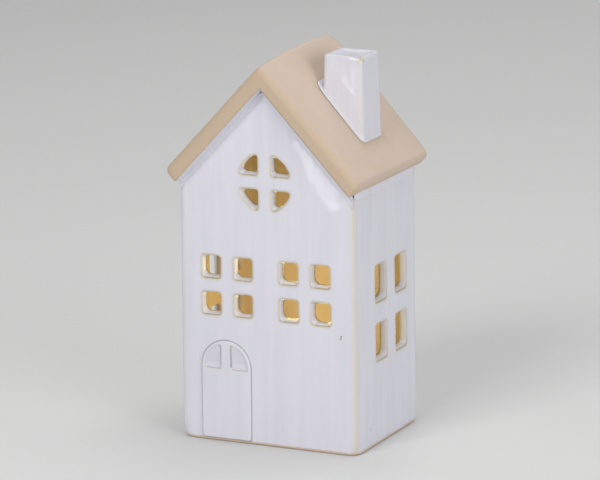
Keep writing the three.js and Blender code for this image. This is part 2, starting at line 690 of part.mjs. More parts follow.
function chimneyBlock(sideways, uphill, top, edge) {
  const low = roofApexZ - eaveTipX * SLOPE;
  const outline = roundedRectangle(
    CHIMNEY_TOP_WIDTH + uphill,
    CHIMNEY_TOP_DEPTH + 2 * sideways,
    CHIMNEY_CORNER_RADIUS,
    -uphill / 2,
  );
  const geometry = reshaped(upright(outline, low, top, edge), (point) => {
    point.x += Math.sign(point.x) * CHIMNEY_DRAFT * (chimneyTopZ - point.z);
    point.y += Math.sign(point.y) * CHIMNEY_DRAFT * (chimneyTopZ - point.z);
  });
  return solidOf(geometry.translate(chimneyX, CHIMNEY_Y, 0));
}

function chimneyDish() {
  const outline = (inset) => roundedRectangle(
    CHIMNEY_TOP_WIDTH - 2 * (CHIMNEY_RIM + inset),
    CHIMNEY_TOP_DEPTH - 2 * (CHIMNEY_RIM + inset),
    CHIMNEY_CORNER_RADIUS,
    chimneyX,
    CHIMNEY_Y,
  );
  const levels = [[-CHIMNEY_DISH_DEPTH, CHIMNEY_DISH_DEPTH], [0, 0], [1, 0]];
  const rings = levels.map(([depth, inset]) => {
    const points = outlinePoints(outline(inset));
    return points.map((point) => new THREE.Vector3(point.x, point.y, chimneyTopZ + depth));
  });
  return solidOf(lofted(rings));
}

const flangeRaise = LEVEL_GAP + CHIMNEY_FLANGE_THICKNESS / Math.cos(ROOF_PITCH);
const chimneyFlange = chimneyBlock(CHIMNEY_FLANGE_REACH, CHIMNEY_FLANGE_UPHILL, chimneyTopZ, 0)
  .intersect(belowRoofTop(flangeRaise));
const chimney = cut(
  joined(chimneyBlock(0, 0, chimneyTopZ, CHIMNEY_EDGE_ROUND), chimneyFlange),
  belowRoofTop(LEVEL_GAP),
  chimneyDish(),
);
addPiece('chimney', chimney, glaze);

// Light unit: one moulding with a flange, a battery bay, a switch bay and an upper chamber

const bothSides = [-1, 1];

// The battery hatch's plate from a given near edge, with its screw lobe, grown by a clearance
function hatchSlab(nearY, grow, low, high) {
  const depth = hatchFarY + grow - nearY;
  const neck = hatchScrewY - hatchFarY + 1;
  return joined(
    block(2 * (hatchHalfLength + grow), depth, low, high, 0, nearY + depth / 2),
    block(2 * (HATCH_LOBE_RADIUS + grow), neck, low, high, HATCH_SCREW_X, hatchScrewY - neck / 2),
    post(HATCH_LOBE_RADIUS + grow, low, high, HATCH_SCREW_X, hatchScrewY),
  );
}

// Saddle under the deck that follows the two cells
function cellCradle(x) {
  const saddle = block(HOUSING_WALL, bayWidth, cellZ, bayTopZ + 1, x, bayCentreY);
  return cut(saddle, ...cellYs.map((y) => (
    barAlongX(CELL_DIAMETER / 2 + CELL_HEADROOM, x - HOUSING_WALL, x + HOUSING_WALL, y, cellZ)
  )));
}

function housingShell() {
  const flange = uprightSolid(
    roundedRectangle(openingLength + 2 * FLANGE_LAP, openingWidth + 2 * FLANGE_LAP, openingCornerRadius),
    flangeBottomZ,
    flangeTopZ,
    FLANGE_EDGE_ROUND,
  );
  const box = uprightSolid(
    roundedRectangle(housingLength, housingWidth, HOUSING_CORNER_RADIUS),
    rebateTopZ,
    housingTopZ,
  );
  return cut(
    joined(flange, box),
    block(bayLength, housingWidth - 2 * HOUSING_WALL, deckTopZ, housingTopZ + 1),
    block(bayLength, bayWidth, flangeBottomZ - 1, bayTopZ, 0, bayCentreY),
    block(bayLength, SWITCH_BAY_WIDTH, flangeTopZ, housingTopZ, 0, switchY),
    hatchSlab(hatchAxisY - hatchBarrelRadius - GAP, GAP, flangeBottomZ - 1, rebateTopZ),
  );
}

function housingFittings() {
  const stopOffset = SWITCH_BODY_LENGTH / 2 + GAP + SWITCH_STOP / 2;
  return [
    ...lidScrewPlaces.map(([x, y, low]) => post(LID_BOSS_RADIUS, low, housingTopZ, x, y)),
    post(hatchBossRadius, flangeTopZ - 1, hatchScrewTipZ + HOUSING_WALL, HATCH_SCREW_X, hatchScrewY),
    ...boardPegXs.flatMap((x) => [
      post(2 * BOARD_PEG_RADIUS, deckTopZ - 1, boardLowZ - GAP, x, bayCentreY),
      post(BOARD_PEG_RADIUS, deckTopZ - 1, boardTopZ + BOARD_PEG_RADIUS, x, bayCentreY),
    ]),
    ...bothSides.map((side) => (
      block(SWITCH_STOP, SWITCH_BODY_WIDTH, flangeTopZ - 1, switchLowZ + SWITCH_BODY_HEIGHT / 2,
        SWITCH_X + side * stopOffset, switchY)
    )),
    ...bothSides.map((side) => cellCradle(side * bayLength / 4)),
  ];
}

function housingHoles() {
  const fingerRecess = roundedRectangle(
    switchSlotLength + 2 * SWITCH_FINGER_ROOM,
    switchSlotWidth + 2 * SWITCH_FINGER_ROOM,
    SWITCH_FINGER_ROOM,
    SWITCH_X,
    switchY,
  );
  const pinRoom = HATCH_PIN_RADIUS + GAP;
  return [
    ...lidScrewPlaces.map(([x, y]) => (
      post(LID_SCREW_RADIUS + GAP, housingTopZ - LID_SCREW_LENGTH, housingTopZ + 1, x, y)
    )),
    post(hatchScrewRoom, flangeBottomZ, hatchScrewTipZ + GAP, HATCH_SCREW_X, hatchScrewY),
    ...cellYs.map((y) => (
      block(CONTACT_THICKNESS + 2 * GAP, CONTACT_TAB_WIDTH + 2 * GAP, bayTopZ - 1, deckTopZ + 1, contactX, y)
    )),
    block(switchSlotLength, switchSlotWidth, flangeBottomZ - 1, flangeTopZ + 1, SWITCH_X, switchY),
    uprightSolid(fingerRecess, flangeBottomZ - 1, flangeBottomZ + SWITCH_FINGER_RECESS),
    barAlongX(pinRoom, hatchHalfLength, hatchPinEndX + GAP, hatchAxisY, hatchAxisZ),
    barAlongX(pinRoom, -hatchPinEndX - GAP, -hatchHalfLength, hatchAxisY, hatchAxisZ),
  ];
}

addPiece('light_unit_housing', cut(joined(housingShell(), ...housingFittings()), ...housingHoles()), abs);

// Rubber ring round the housing, with two lips that grip the edge of the floor's opening
function gripRing() {
  const inner = roundedRectangle(housingLength + 2 * GAP, housingWidth + 2 * GAP, HOUSING_CORNER_RADIUS);
  const band = (thickness, low, high, edge) => uprightSolid(
    roundedRectangle(
      housingLength + 2 * (GAP + thickness),
      housingWidth + 2 * (GAP + thickness),
      openingCornerRadius - GAP,
    ),
    low,
    high,
    edge,
  );
  const low = flangeTopZ + GAP;
  const high = low + GRIP_RING_HEIGHT;
  const lips = [low, (low + high - GRIP_LIP_HEIGHT) / 2, high - GRIP_LIP_HEIGHT];
  return cut(
    joined(
      band(GRIP_RING_THICKNESS - GRIP_LIP_REACH, low, high, 0),
      ...lips.map((level) => band(GRIP_RING_THICKNESS, level, level + GRIP_LIP_HEIGHT, 0)),
    ),
    uprightSolid(inner, low - 1, high + 1),
  );
}

addPiece('grip_ring', gripRing(), siliconeRubber);

// Lid over the upper chamber, with a collar round the lamp and four sunk screws
function lid() {
  const plate = uprightSolid(
    roundedRectangle(housingLength, housingWidth, HOUSING_CORNER_RADIUS),
    lidLowZ,
    lidTopZ,
    LID_EDGE_ROUND,
  );
  const collarTopZ = lidTopZ + LID_COLLAR_HEIGHT;
  return cut(
    joined(plate, post(LED_FLANGE_RADIUS + LID_THICKNESS, lidLowZ, collarTopZ, 0, bayCentreY)),
    post(LED_RADIUS + GAP, lidLowZ - 1, collarTopZ + 1, 0, bayCentreY),
    ...lidScrewPlaces.flatMap(([x, y]) => [
      post(LID_SCREW_RADIUS + GAP, lidLowZ - 1, lidTopZ + 1, x, y),
      post(LID_SCREW_HEAD_RADIUS + GAP, lidTopZ - LID_SEAT_DEPTH, lidTopZ + 1, x, y),
    ]),
  );
}

addPiece('light_unit_lid', lid(), abs);

// Pan-head screw along Z with a cross slot; its head faces up or down
function screw(headRadius, headHeight, shankRadius, shankLength, seatZ, facing, x, y) {
  const outline = [
    [0, -shankLength],
    [shankRadius / 3, -shankLength],
    [shankRadius, shankRadius - shankLength],
    [shankRadius, 0],
    [headRadius, 0],
    [headRadius, headHeight / 2],
    [0.75 * headRadius, 0.9 * headHeight],
    [0, headHeight],
  ];
  const profile = outline.map(([radius, height]) => new THREE.Vector2(radius, height));
  const slotWidth = headRadius / 4;
  const slots = [[1.2 * headRadius, slotWidth], [slotWidth, 1.2 * headRadius]].map(([width, depth]) => (
    new THREE.BoxGeometry(width, depth, headHeight).translate(0, 0, headHeight)
  ));
  const lathe = new THREE.LatheGeometry(profile, SCREW_STEPS).rotateX(Math.PI / 2);
  const [turned, ...turnedSlots] = [lathe, ...slots].map((geometry) => (
    solidOf(geometry.rotateX(facing > 0 ? 0 : Math.PI).translate(x, y, seatZ))
  ));
  return cut(turned, ...turnedSlots);
}

lidScrewPlaces.forEach(([x, y], i) => {
  const seatZ = lidTopZ - LID_SEAT_DEPTH + GAP;
  const solid = screw(LID_SCREW_HEAD_RADIUS, LID_SCREW_HEAD_HEIGHT, LID_SCREW_RADIUS, LID_SCREW_LENGTH,
    seatZ, 1, x, y);
  addPiece(`lid_screw_${i + 1}`, solid, zincSteel);
});

// Battery hatch: plate with a rounded hinge edge on two pins, grip ribs and a screw lobe
function batteryHatch() {
  const top = flangeBottomZ + HATCH_THICKNESS;
  const grooves = Array.from({ length: HATCH_RIB_COUNT }, (_, i) => (
    block(HATCH_RIB_LENGTH, HATCH_RIB_DEPTH, flangeBottomZ - 1, flangeBottomZ + HATCH_RIB_DEPTH,
      -hatchHalfLength / 2, hatchFarY - 3 * HATCH_RIB_DEPTH * (i + 1))
  ));
  return cut(
    joined(
      hatchSlab(hatchAxisY, 0, flangeBottomZ, top),
      barAlongX(hatchBarrelRadius, -hatchHalfLength, hatchHalfLength, hatchAxisY, hatchAxisZ),
      barAlongX(HATCH_PIN_RADIUS, -hatchPinEndX, hatchPinEndX, hatchAxisY, hatchAxisZ),
    ),
    post(HATCH_SCREW_RADIUS + GAP, flangeBottomZ - 1, top + 1, HATCH_SCREW_X, hatchScrewY),
    post(HATCH_SCREW_HEAD_RADIUS + GAP, flangeBottomZ - 1, hatchScrewSeatZ + GAP, HATCH_SCREW_X, hatchScrewY),
    ...grooves,
  );
}

addPiece('battery_hatch', batteryHatch(), abs);
addPiece(
  'battery_hatch_screw',
  screw(HATCH_SCREW_HEAD_RADIUS, HATCH_SCREW_HEAD_HEIGHT, HATCH_SCREW_RADIUS, HATCH_SCREW_LENGTH,
    hatchScrewSeatZ, -1, HATCH_SCREW_X, hatchScrewY),
  zincSteel,
);

// Battery cells, head to tail; facing is the side of the positive nub
function cell(facing, y) {
  const radius = CELL_DIAMETER / 2;
  const bodyLength = CELL_LENGTH - CELL_NUB_LENGTH;
  const outline = [
    [0, 0],
    [radius - 2 * CELL_EDGE, 0],
    [radius - CELL_EDGE, CELL_EDGE],
    [radius, CELL_EDGE],
    [radius, bodyLength - CELL_EDGE],
    [radius - CELL_EDGE, bodyLength],
    [radius - 3 * CELL_EDGE, bodyLength - CELL_EDGE],
    [CELL_NUB_DIAMETER / 2, bodyLength - CELL_EDGE],
    [CELL_NUB_DIAMETER / 2, CELL_LENGTH],
    [0, CELL_LENGTH],
  ];
  const profile = outline.map(([across, along]) => new THREE.Vector2(across, along));
  const geometry = new THREE.LatheGeometry(profile, CIRCLE_STEPS).rotateZ(-facing * Math.PI / 2);
  const tailX = facing * (bayLength / 2 - 2 * GAP - CONTACT_THICKNESS - CELL_LENGTH);
  return solidOf(geometry.translate(tailX, y, cellZ));
}

addPiece('battery_cell_1', cell(1, cellYs[0]), cellWrap);
addPiece('battery_cell_2', cell(-1, cellYs[1]), cellWrap);

// Contact plates at the ends of the bay; the single ones have a tab up through the deck
function contactPlate(side, fromY, toY, tabbed) {
  const plate = roundedRectangle(toY - fromY, CONTACT_HEIGHT, CONTACT_THICKNESS, (fromY + toY) / 2, cellZ);
  const x = side * contactX;
  const solid = solidOf(towardsRight(upright(plate, x - CONTACT_THICKNESS / 2, x + CONTACT_THICKNESS / 2)));
  if (!tabbed) {
    return solid;
  }
  return joined(
    solid,
    block(CONTACT_THICKNESS, CONTACT_TAB_WIDTH, cellZ, contactTabTopZ, x, (fromY + toY) / 2),
  );
}

const [frontCellY, backCellY] = cellYs;
const halfPlate = CONTACT_WIDTH / 2;
const bridge = contactPlate(-1, frontCellY - halfPlate, backCellY + halfPlate, false);
addPiece('contact_bridge', bridge, nickelStrip);
Object.entries({ positive: frontCellY, negative: backCellY }).forEach(([pole, y]) => {
  addPiece(`contact_${pole}`, contactPlate(1, y - halfPlate, y + halfPlate, true), nickelStrip);
});

// Conical contact spring, one unbroken wire wound round X from its plate towards the cell
class ConeSpring extends THREE.Curve {
  constructor(side, plateX, y) {
    super();
    this.side = side;
    this.plateX = plateX;
    this.y = y;
  }

  getPoint(t, target = new THREE.Vector3()) {
    const angle = 2 * Math.PI * SPRING_TURNS * t;
    const radius = THREE.MathUtils.lerp(SPRING_BASE_RADIUS, SPRING_TIP_RADIUS, t);
    const along = SPRING_WIRE / 2 + t * (SPRING_LENGTH - SPRING_WIRE);
    const [y, z] = [this.y + radius * Math.cos(angle), cellZ + radius * Math.sin(angle)];
    return target.set(this.plateX - this.side * along, y, z);
  }
}

function contactSpring(side, y) {
  const steps = Math.round(SPRING_STEPS_PER_TURN * SPRING_TURNS);
  const path = new ConeSpring(side, side * contactFaceX, y);
  return tube(path, SPRING_WIRE / 2, steps, SPRING_ARC_STEPS);
}

// Least distance between the spring's neighbouring turns, wire surface to wire surface
function springSelfGap() {
  const perTurn = 100;
  const samples = new ConeSpring(1, 0, 0).getPoints(Math.round(perTurn * SPRING_TURNS));
  let least = Infinity;
  samples.forEach((first, i) => {
    samples.slice(i + perTurn / 2).forEach((second) => {
      least = Math.min(least, first.distanceTo(second) - SPRING_WIRE);
    });
  });
  return least;
}

console.log(`contact spring, least gap between turns: ${springSelfGap().toFixed(2)} mm`);
addPiece('contact_spring_1', contactSpring(-1, frontCellY), zincSteel);
addPiece('contact_spring_2', contactSpring(1, backCellY), zincSteel);

// Slide switch: a body with three pins, and the knob that travels in the flange's slot
function switchBody() {
  const top = switchLowZ + SWITCH_BODY_HEIGHT;
  const slotTop = switchLowZ + SWITCH_KNOB_ROOT + GAP;
  return cut(
    joined(
      block(SWITCH_BODY_LENGTH, SWITCH_BODY_WIDTH, switchLowZ, top, SWITCH_X, switchY),
      ...switchPinXs.map((x) => (
        block(SWITCH_PIN_WIDTH, 2 * SWITCH_PIN_WIDTH, top - 1, switchPinTopZ, x, switchY)
      )),
    ),
    block(switchSlotLength, switchSlotWidth, switchLowZ - 1, slotTop, SWITCH_X, switchY),
  );
}

function switchKnob() {
  const outline = roundedRectangle(SWITCH_KNOB_LENGTH, SWITCH_KNOB_WIDTH, SWITCH_KNOB_WIDTH / 6,
    switchOnX, switchY);
  const low = flangeBottomZ - SWITCH_KNOB_PROUD;
  const grooveWidth = SWITCH_KNOB_LENGTH / (2 * SWITCH_KNOB_GROOVES + 1);
  const grooves = Array.from({ length: SWITCH_KNOB_GROOVES }, (_, i) => {
    const x = switchOnX - SWITCH_KNOB_LENGTH / 2 + (2 * i + 1.5) * grooveWidth;
    return block(grooveWidth, SWITCH_KNOB_WIDTH, low - 1, low + SWITCH_KNOB_GROOVE_DEPTH, x, switchY);
  });
  return cut(uprightSolid(outline, low, switchLowZ + SWITCH_KNOB_ROOT), ...grooves);
}

addPiece('switch_body', switchBody(), blackPlastic);
addPiece('switch_knob', switchKnob(), blackPlastic);

// Circuit board on two pegs, with the lamp and its resistor

const legHole = LED_LEG_WIDTH / 2 + 2 * GAP;

function circuitBoard() {
  const outline = roundedRectangle(BOARD_LENGTH, BOARD_WIDTH, BOARD_THICKNESS, 0, bayCentreY);
  return cut(
    uprightSolid(outline, boardLowZ, boardTopZ),
    ...boardPegXs.map((x) => post(BOARD_PEG_RADIUS + GAP, boardLowZ - 1, boardTopZ + 1, x, bayCentreY)),
    ...bothSides.map((side) => (
      post(legHole, boardLowZ - 1, boardTopZ + 1, side * LED_LEG_PITCH / 2, bayCentreY)
    )),
    ...bothSides.map((side) => (
      post(legHole, boardLowZ - 1, boardTopZ + 1, RESISTOR_X, bayCentreY + side * RESISTOR_LEG_PITCH / 2)
    )),
  );
}

function lamp() {
  const domeStart = LED_HEIGHT - LED_RADIUS;
  const dome = Array.from({ length: 2 * ARC_STEPS + 1 }, (_, i) => {
    const angle = (i / (2 * ARC_STEPS)) * (Math.PI / 2);
    return [LED_RADIUS * Math.cos(angle), domeStart + LED_RADIUS * Math.sin(angle)];
  });
  dome[dome.length - 1][0] = 0;
  const outline = [[0, 0], [LED_FLANGE_RADIUS, 0], [LED_FLANGE_RADIUS, LED_FLANGE_HEIGHT],
    [LED_RADIUS, LED_FLANGE_HEIGHT], ...dome];
  const profile = outline.map(([radius, height]) => new THREE.Vector2(radius, height));
  const lens = new THREE.LatheGeometry(profile, CIRCLE_STEPS).rotateX(Math.PI / 2);
  const legTopZ = ledLowZ + LED_LEG_WIDTH;
  return joined(
    solidOf(lens.translate(0, bayCentreY, ledLowZ)),
    ...bothSides.map((side) => (
      block(LED_LEG_WIDTH, LED_LEG_WIDTH, legLowZ, legTopZ, side * LED_LEG_PITCH / 2, bayCentreY)
    )),
  );
}

// A bead-ended body on two bent legs, lying along Y
function resistor() {
  const bodyZ = boardTopZ + RESISTOR_RADIUS + GAP;
  const half = RESISTOR_LENGTH / 2;
  const halfOutline = [[0.85, 0.5], [1, 0.6], [1, 0.85], [0.7, 1], [0, 1]];
  const mirrored = halfOutline.map(([across, along]) => [across, -along]).reverse();
  const profile = [...mirrored, ...halfOutline].map(([across, along]) => (
    new THREE.Vector2(across * RESISTOR_RADIUS, along * half)
  ));
  const lathe = new THREE.LatheGeometry(profile, SCREW_STEPS);
  const body = solidOf(lathe.translate(RESISTOR_X, bayCentreY, bodyZ));
  const legs = bothSides.map((side) => {
    const legY = bayCentreY + side * RESISTOR_LEG_PITCH / 2;
    const bend = 3 * RESISTOR_LEG_RADIUS;
    const path = new THREE.CatmullRomCurve3([
      new THREE.Vector3(RESISTOR_X, bayCentreY + side * (half - bend), bodyZ),
      new THREE.Vector3(RESISTOR_X, legY - side * bend, bodyZ),
      new THREE.Vector3(RESISTOR_X, legY, bodyZ - bend),
      new THREE.Vector3(RESISTOR_X, legY, legLowZ),
    ], false, 'centripetal');
    return tube(path, RESISTOR_LEG_RADIUS, RESISTOR_LEG_STEPS, SPRING_ARC_STEPS);
  });
  return joined(body, ...legs);
}

addPiece('circuit_board', circuitBoard(), boardGreen);
addPiece('lamp', lamp(), warmLens);
addPiece('resistor', resistor(), resistorTan);

// Wires in the upper chamber, from solder tab to switch pin and board edge

function wire(points) {
  const route = points.map((point) => new THREE.Vector3(...point));
  const path = new THREE.CatmullRomCurve3(route, false, 'centripetal');
  return tube(path, WIRE_RADIUS, WIRE_STEPS, WIRE_ARC_STEPS);
}

const tabZ = contactTabTopZ - WIRE_RADIUS;
const runX = contactFaceX - 4.2;
const WIRE_RUN_BEND = 6;
const WIRE_BOARD_OFFSET = 4.6;
const WIRE_BOARD_APPROACH = 1.6;
const chamberFloorZ = deckTopZ + WIRE_RADIUS + GAP;
const [, pinMiddleX, pinRightX] = switchPinXs;
const boardEdgeX = BOARD_LENGTH / 2 + GAP;
const boardEdgeY = bayCentreY + BOARD_WIDTH / 2 + GAP;
const boardMidZ = (boardLowZ + boardTopZ) / 2;

addPiece('wire_red', wire([
  [contactFaceX, frontCellY, tabZ],
  [contactFaceX - 1.5, frontCellY, tabZ],
  [runX + 0.5, frontCellY + 2, chamberFloorZ],
  [runX, frontCellY + WIRE_RUN_BEND, chamberFloorZ],
  [runX, backCellY + 3, chamberFloorZ],
  [runX - 3, switchY - 2.5, chamberFloorZ],
  [HATCH_SCREW_X, switchY, chamberFloorZ],
  [pinRightX + 2.5, switchY, chamberFloorZ - 0.5],
  [pinRightX, switchY, switchPinTopZ + 2.2],
  [pinRightX, switchY, switchPinTopZ + GAP],
]), redWire);
addPiece('wire_black', wire([
  [contactFaceX, backCellY, tabZ],
  [contactFaceX - 1.2, backCellY, tabZ + 0.4],
  [contactFaceX - 3, backCellY, boardTopZ + 0.6],
  [runX - 1.5, backCellY, boardTopZ + 0.8],
  [boardEdgeX + 3.5, bayCentreY + 2.5, boardMidZ + 0.2],
  [boardEdgeX + 1.5, bayCentreY + 2, boardMidZ],
  [boardEdgeX, bayCentreY + 2, boardMidZ],
]), blackWire);
addPiece('wire_switched', wire([
  [pinMiddleX, switchY, switchPinTopZ + GAP],
  [pinMiddleX, switchY, switchPinTopZ + 2.6],
  [pinMiddleX + 1.2, switchY - 2, chamberFloorZ + 0.4],
  [pinMiddleX + 3.6, boardEdgeY + 4, boardMidZ],
  [pinMiddleX + WIRE_BOARD_OFFSET, boardEdgeY + WIRE_BOARD_APPROACH, boardMidZ],
  [pinMiddleX + WIRE_BOARD_OFFSET, boardEdgeY, boardMidZ],
]), redWire);

export default house;
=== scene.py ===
"""Light-up decorative house: glazed stoneware walls and chimney, a bare clay roof and a battery light unit
in the floor.

Metres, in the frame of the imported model: the front faces -Y, +X is to the right and +Z is up. The fired clay
pieces are worked out here as surfaces of two parameters and stand for the plain solids of the walls, the roof
and the chimney. The light unit keeps its solids and gets its finishes here.
"""

import math
from functools import partialmethod
from itertools import product

import bmesh
import bpy
import numpy as np
from mathutils import Matrix, Vector


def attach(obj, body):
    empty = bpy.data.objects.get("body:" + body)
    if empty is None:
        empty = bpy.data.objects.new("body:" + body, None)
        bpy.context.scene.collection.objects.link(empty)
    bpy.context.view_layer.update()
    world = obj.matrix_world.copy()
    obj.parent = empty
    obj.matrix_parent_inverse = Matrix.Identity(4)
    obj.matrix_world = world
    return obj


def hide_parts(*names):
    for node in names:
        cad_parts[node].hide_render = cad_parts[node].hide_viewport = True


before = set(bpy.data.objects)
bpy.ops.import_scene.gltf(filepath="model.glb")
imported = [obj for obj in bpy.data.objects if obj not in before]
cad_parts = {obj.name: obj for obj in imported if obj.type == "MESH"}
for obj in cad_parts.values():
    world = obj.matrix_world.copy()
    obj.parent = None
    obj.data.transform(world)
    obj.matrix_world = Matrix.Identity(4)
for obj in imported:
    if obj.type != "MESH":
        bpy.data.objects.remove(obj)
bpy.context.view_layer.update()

MM = 0.001

# Walls: plan, height, lean and thickness
HALF_WIDTH = 45 * MM
HALF_DEPTH = 34.6 * MM
EAVES = 120.6 * MM
WALL = 4.4 * MM
LEAN = 0.0048
OUTER_CORNER = 2.6 * MM
INNER_CORNER = 2.2 * MM
FOOT_ROUND = 1.3 * MM
FOOT_CORNER = 3.2 * MM
FOOT_RISE = 9 * MM
RECESS = 5.4 * MM
FLOOR_TOP = 9.8 * MM
OPENING_HALF_LENGTH = 29.8 * MM
OPENING_HALF_WIDTH = 21.05 * MM
OPENING_CORNER = 4.3 * MM

# Roof slab, with its joint line on the walls
PITCH = math.radians(46.76)
SLOPE = math.tan(PITCH)
SLAB = 8.45 * MM
EAVE_OVERHANG = 5.5 * MM
ROOF_HALF_LENGTH = 39.8 * MM
JOINT_LINE = 0.3 * MM / math.cos(PITCH)
RIDGE_CROWN = 3.3 * MM
CROWN_CENTRE = 16.2 * MM
COVE = 1.9 * MM

# Window panes: two blocks of four in front, four quarters of a round window, four in each side wall
FACADE_SHIFT = -0.8 * MM
PANE_SIZE = (9.9 * MM, 10.8 * MM)
PANE_CORNER = 1.5 * MM
PANE_CENTRES_X = [FACADE_SHIFT + x * MM for x in (-27.75, -11.65, 11.65, 27.75)]
PANE_CENTRES_Z = (65.7 * MM, 83.1 * MM)
PANE_PITCH = (16.1 * MM, 17.4 * MM)
ROUND_CENTRE_Z = 124.5 * MM
ROUND_RADIUS = 13.7 * MM
ROUND_BAR = 3.2 * MM
ROUND_CORNER = 1.4 * MM
ROUND_CELL = (19.7 * MM, 18.5 * MM)
SIDE_SIZE = (12.5 * MM, 17.7 * MM)
SIDE_CENTRES_Y = (-6.1 * MM, 16.1 * MM)
SIDE_CENTRES_Z = (48.4 * MM, 76.0 * MM)
SIDE_PITCH = (22.2 * MM, 27.6 * MM)

# Arched door in low relief, with two sunk lights
DOOR_X = FACADE_SHIFT - 20.4 * MM
DOOR_RADIUS = 12.5 * MM
DOOR_SPRING = 35.9 * MM
DOOR_RELIEF = 0.95 * MM
DOOR_SILL = 35.0 * MM
DOOR_BAR = 2.75 * MM
DOOR_MARGIN = 1.6 * MM

# Chimney and the flange that beds it on the slope
CHIMNEY_CENTRE = (27.3 * MM, 1.0 * MM)
CHIMNEY_HALF = (9.6 * MM, 9.6 * MM)
CHIMNEY_TOP = 181.1 * MM
CHIMNEY_TAPER = 0.0315
CHIMNEY_CORNER = 1.4 * MM

# The line between the light unit's two cells, with the lamp above it
BAY_CENTRE_Y = -5.5 * MM

# The photograph's viewpoint: direction, roll, distance and focal length in pixels of its frame
CAMERA_AZIMUTH = math.radians(25.604)
CAMERA_ELEVATION = math.radians(13.266)
CAMERA_ROLL = math.radians(0.737)
CAMERA_DISTANCE = 1.8418
CAMERA_TARGET = Vector((0, 0, 90 * MM))
FRAME_SIZE = (600, 480)
FOCAL_LENGTH = 3965.1
TARGET_PLACE = (298.68, 241.24)

TOP_HALF_WIDTH = HALF_WIDTH - LEAN * EAVES
WALL_APEX = EAVES + TOP_HALF_WIDTH * SLOPE
UNDERSIDE_APEX = WALL_APEX + JOINT_LINE
SLAB_RISE = SLAB / math.cos(PITCH)
EAVE_TIP = TOP_HALF_WIDTH + EAVE_OVERHANG


# Surfaces

UNEVENNESS = 0.1 * MM
EVEN_FOOT = 6 * MM
WAVE_PHASES = (0.4, 1.9, 3.3)
BARE_CLAY = 2.0
WELD = 2e-6
SLIVER = 1e-6


def points(x, y, z):
    """Three coordinate arrays, stretched to one shape, as an array of points."""
    return np.stack(np.broadcast_arrays(x, y, z), axis=-1).astype(float)


def handmade(place):
    """Slow unevenness of the clay, which fades out towards the foot: a sum of long sine waves in each
    direction, up to about 0.15 mm."""
    x, y, z = np.moveaxis(place, -1, 0) / MM
    waves = [
        np.sin(0.061 * z + 0.043 * y + phase) * np.cos(0.052 * x - 0.031 * z + 2 * phase)
        + 0.5 * np.sin(0.11 * x + 0.093 * y - 0.087 * z + 3 * phase)
        for phase in WAVE_PHASES
    ]
    fading = np.clip(place[..., 2:] / EVEN_FOOT, 0, 1)
    return place + UNEVENNESS * fading * np.stack(waves, axis=-1)


def in_scene(name, data):
    """A new object in the scene."""
    made = bpy.data.objects.new(name, data)
    bpy.context.scene.collection.objects.link(made)
    return made


def grid_quads(index):
    """The quads between neighbouring points, from a grid of the points' numbers."""
    return np.stack([index[:-1, :-1], index[:-1, 1:], index[1:, 1:], index[1:, :-1]], axis=-1)


class Skin:
    """Patches of one piece, each a grid of points with the wear of its surface and painted shade: -1 where
    grey shade is painted into a groove or corner, 0 where the glaze covers, 1 where it breaks on an edge and 2
    on bare clay."""

    def __init__(self):
        self.places, self.edges, self.quads, self.count = [], [], [], 0

    def add(self, grid, edge=0.0, closed=False, keep=None):
        """A grid of points by row and column; keep says which of its quads are made."""
        rows, columns = grid.shape[:2]
        index = np.arange(rows * columns).reshape(rows, columns) + self.count
        if closed:
            index = np.concatenate([index, index[:, :1]], axis=1)
        quads = grid_quads(index)
        if keep is not None:
            quads = quads[keep]
        self.places.append(grid.reshape(-1, 3))
        self.edges.append(np.broadcast_to(edge, (rows, columns)).reshape(-1))
        self.quads.append(quads.reshape(-1, 4))
        self.count += rows * columns

    def piece(self, name, body, stands_for, slot, finish):
        """Shows the patches as one closed mesh that rides on a body. Shared edges are merged, the faces are
        turned outwards and the whole is rounded once."""
        mesh = bpy.data.meshes.new(name)
        mesh.from_pydata(handmade(np.concatenate(self.places)), [], np.concatenate(self.quads))
        mesh.attributes.new("edge", "FLOAT", "POINT").data.foreach_set("value", np.concatenate(self.edges))
        shape = bmesh.new()
        shape.from_mesh(mesh)
        bmesh.ops.remove_doubles(shape, verts=shape.verts, dist=WELD)
        bmesh.ops.dissolve_degenerate(shape, edges=shape.edges, dist=SLIVER)
        bmesh.ops.recalc_face_normals(shape, faces=shape.faces)
        shape.to_mesh(mesh)
        shape.free()
        mesh.shade_smooth()
        piece = in_scene(name, mesh)
        rounding = piece.modifiers.new("rounding", "SUBSURF")
        rounding.levels = rounding.render_levels = 1
        mesh.materials.append(finish)
        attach(piece, body)
        if stands_for:
            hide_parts(*stands_for)


def arc(centre, radius, start, end, steps):
    """Points on a circle from one angle in degrees to another, the last one left out."""
    angle = np.radians(start + (end - start) * np.arange(steps) / steps)
    return np.stack([centre[0] + radius * np.cos(angle), centre[1] + radius * np.sin(angle)], axis=-1)


def straight(start, end, steps):
    """Points along a line, the last one left out."""
    along = np.arange(steps)[:, None] / steps
    return np.asarray(start) * (1 - along) + np.asarray(end) * along


ARC_STEPS = 2


def pane_outline(size, corner, grow, across, up):
    """Rounded rectangle, anticlockwise from the middle of its lower left corner: each side is half an arc,
    a line and half an arc."""
    half_x, half_z = size[0] / 2 + grow, size[1] / 2 + grow
    radius = corner + grow
    x, z = half_x - radius, half_z - radius
    corners = [(-x, -z), (x, -z), (x, z), (-x, z)]
    sides = []
    for side, steps in enumerate((across, up, across, up)):
        here, there = corners[side], corners[(side + 1) % 4]
        turn = 270 + 90 * side
        outward = np.array([math.cos(math.radians(turn)), math.sin(math.radians(turn))]) * radius
        sides += [
            arc(here, radius, turn - 45, turn, ARC_STEPS),
            straight(here + outward, there + outward, steps - 2 * ARC_STEPS),
            arc(there, radius, turn, turn + 45, ARC_STEPS),
        ]
    return np.concatenate(sides)


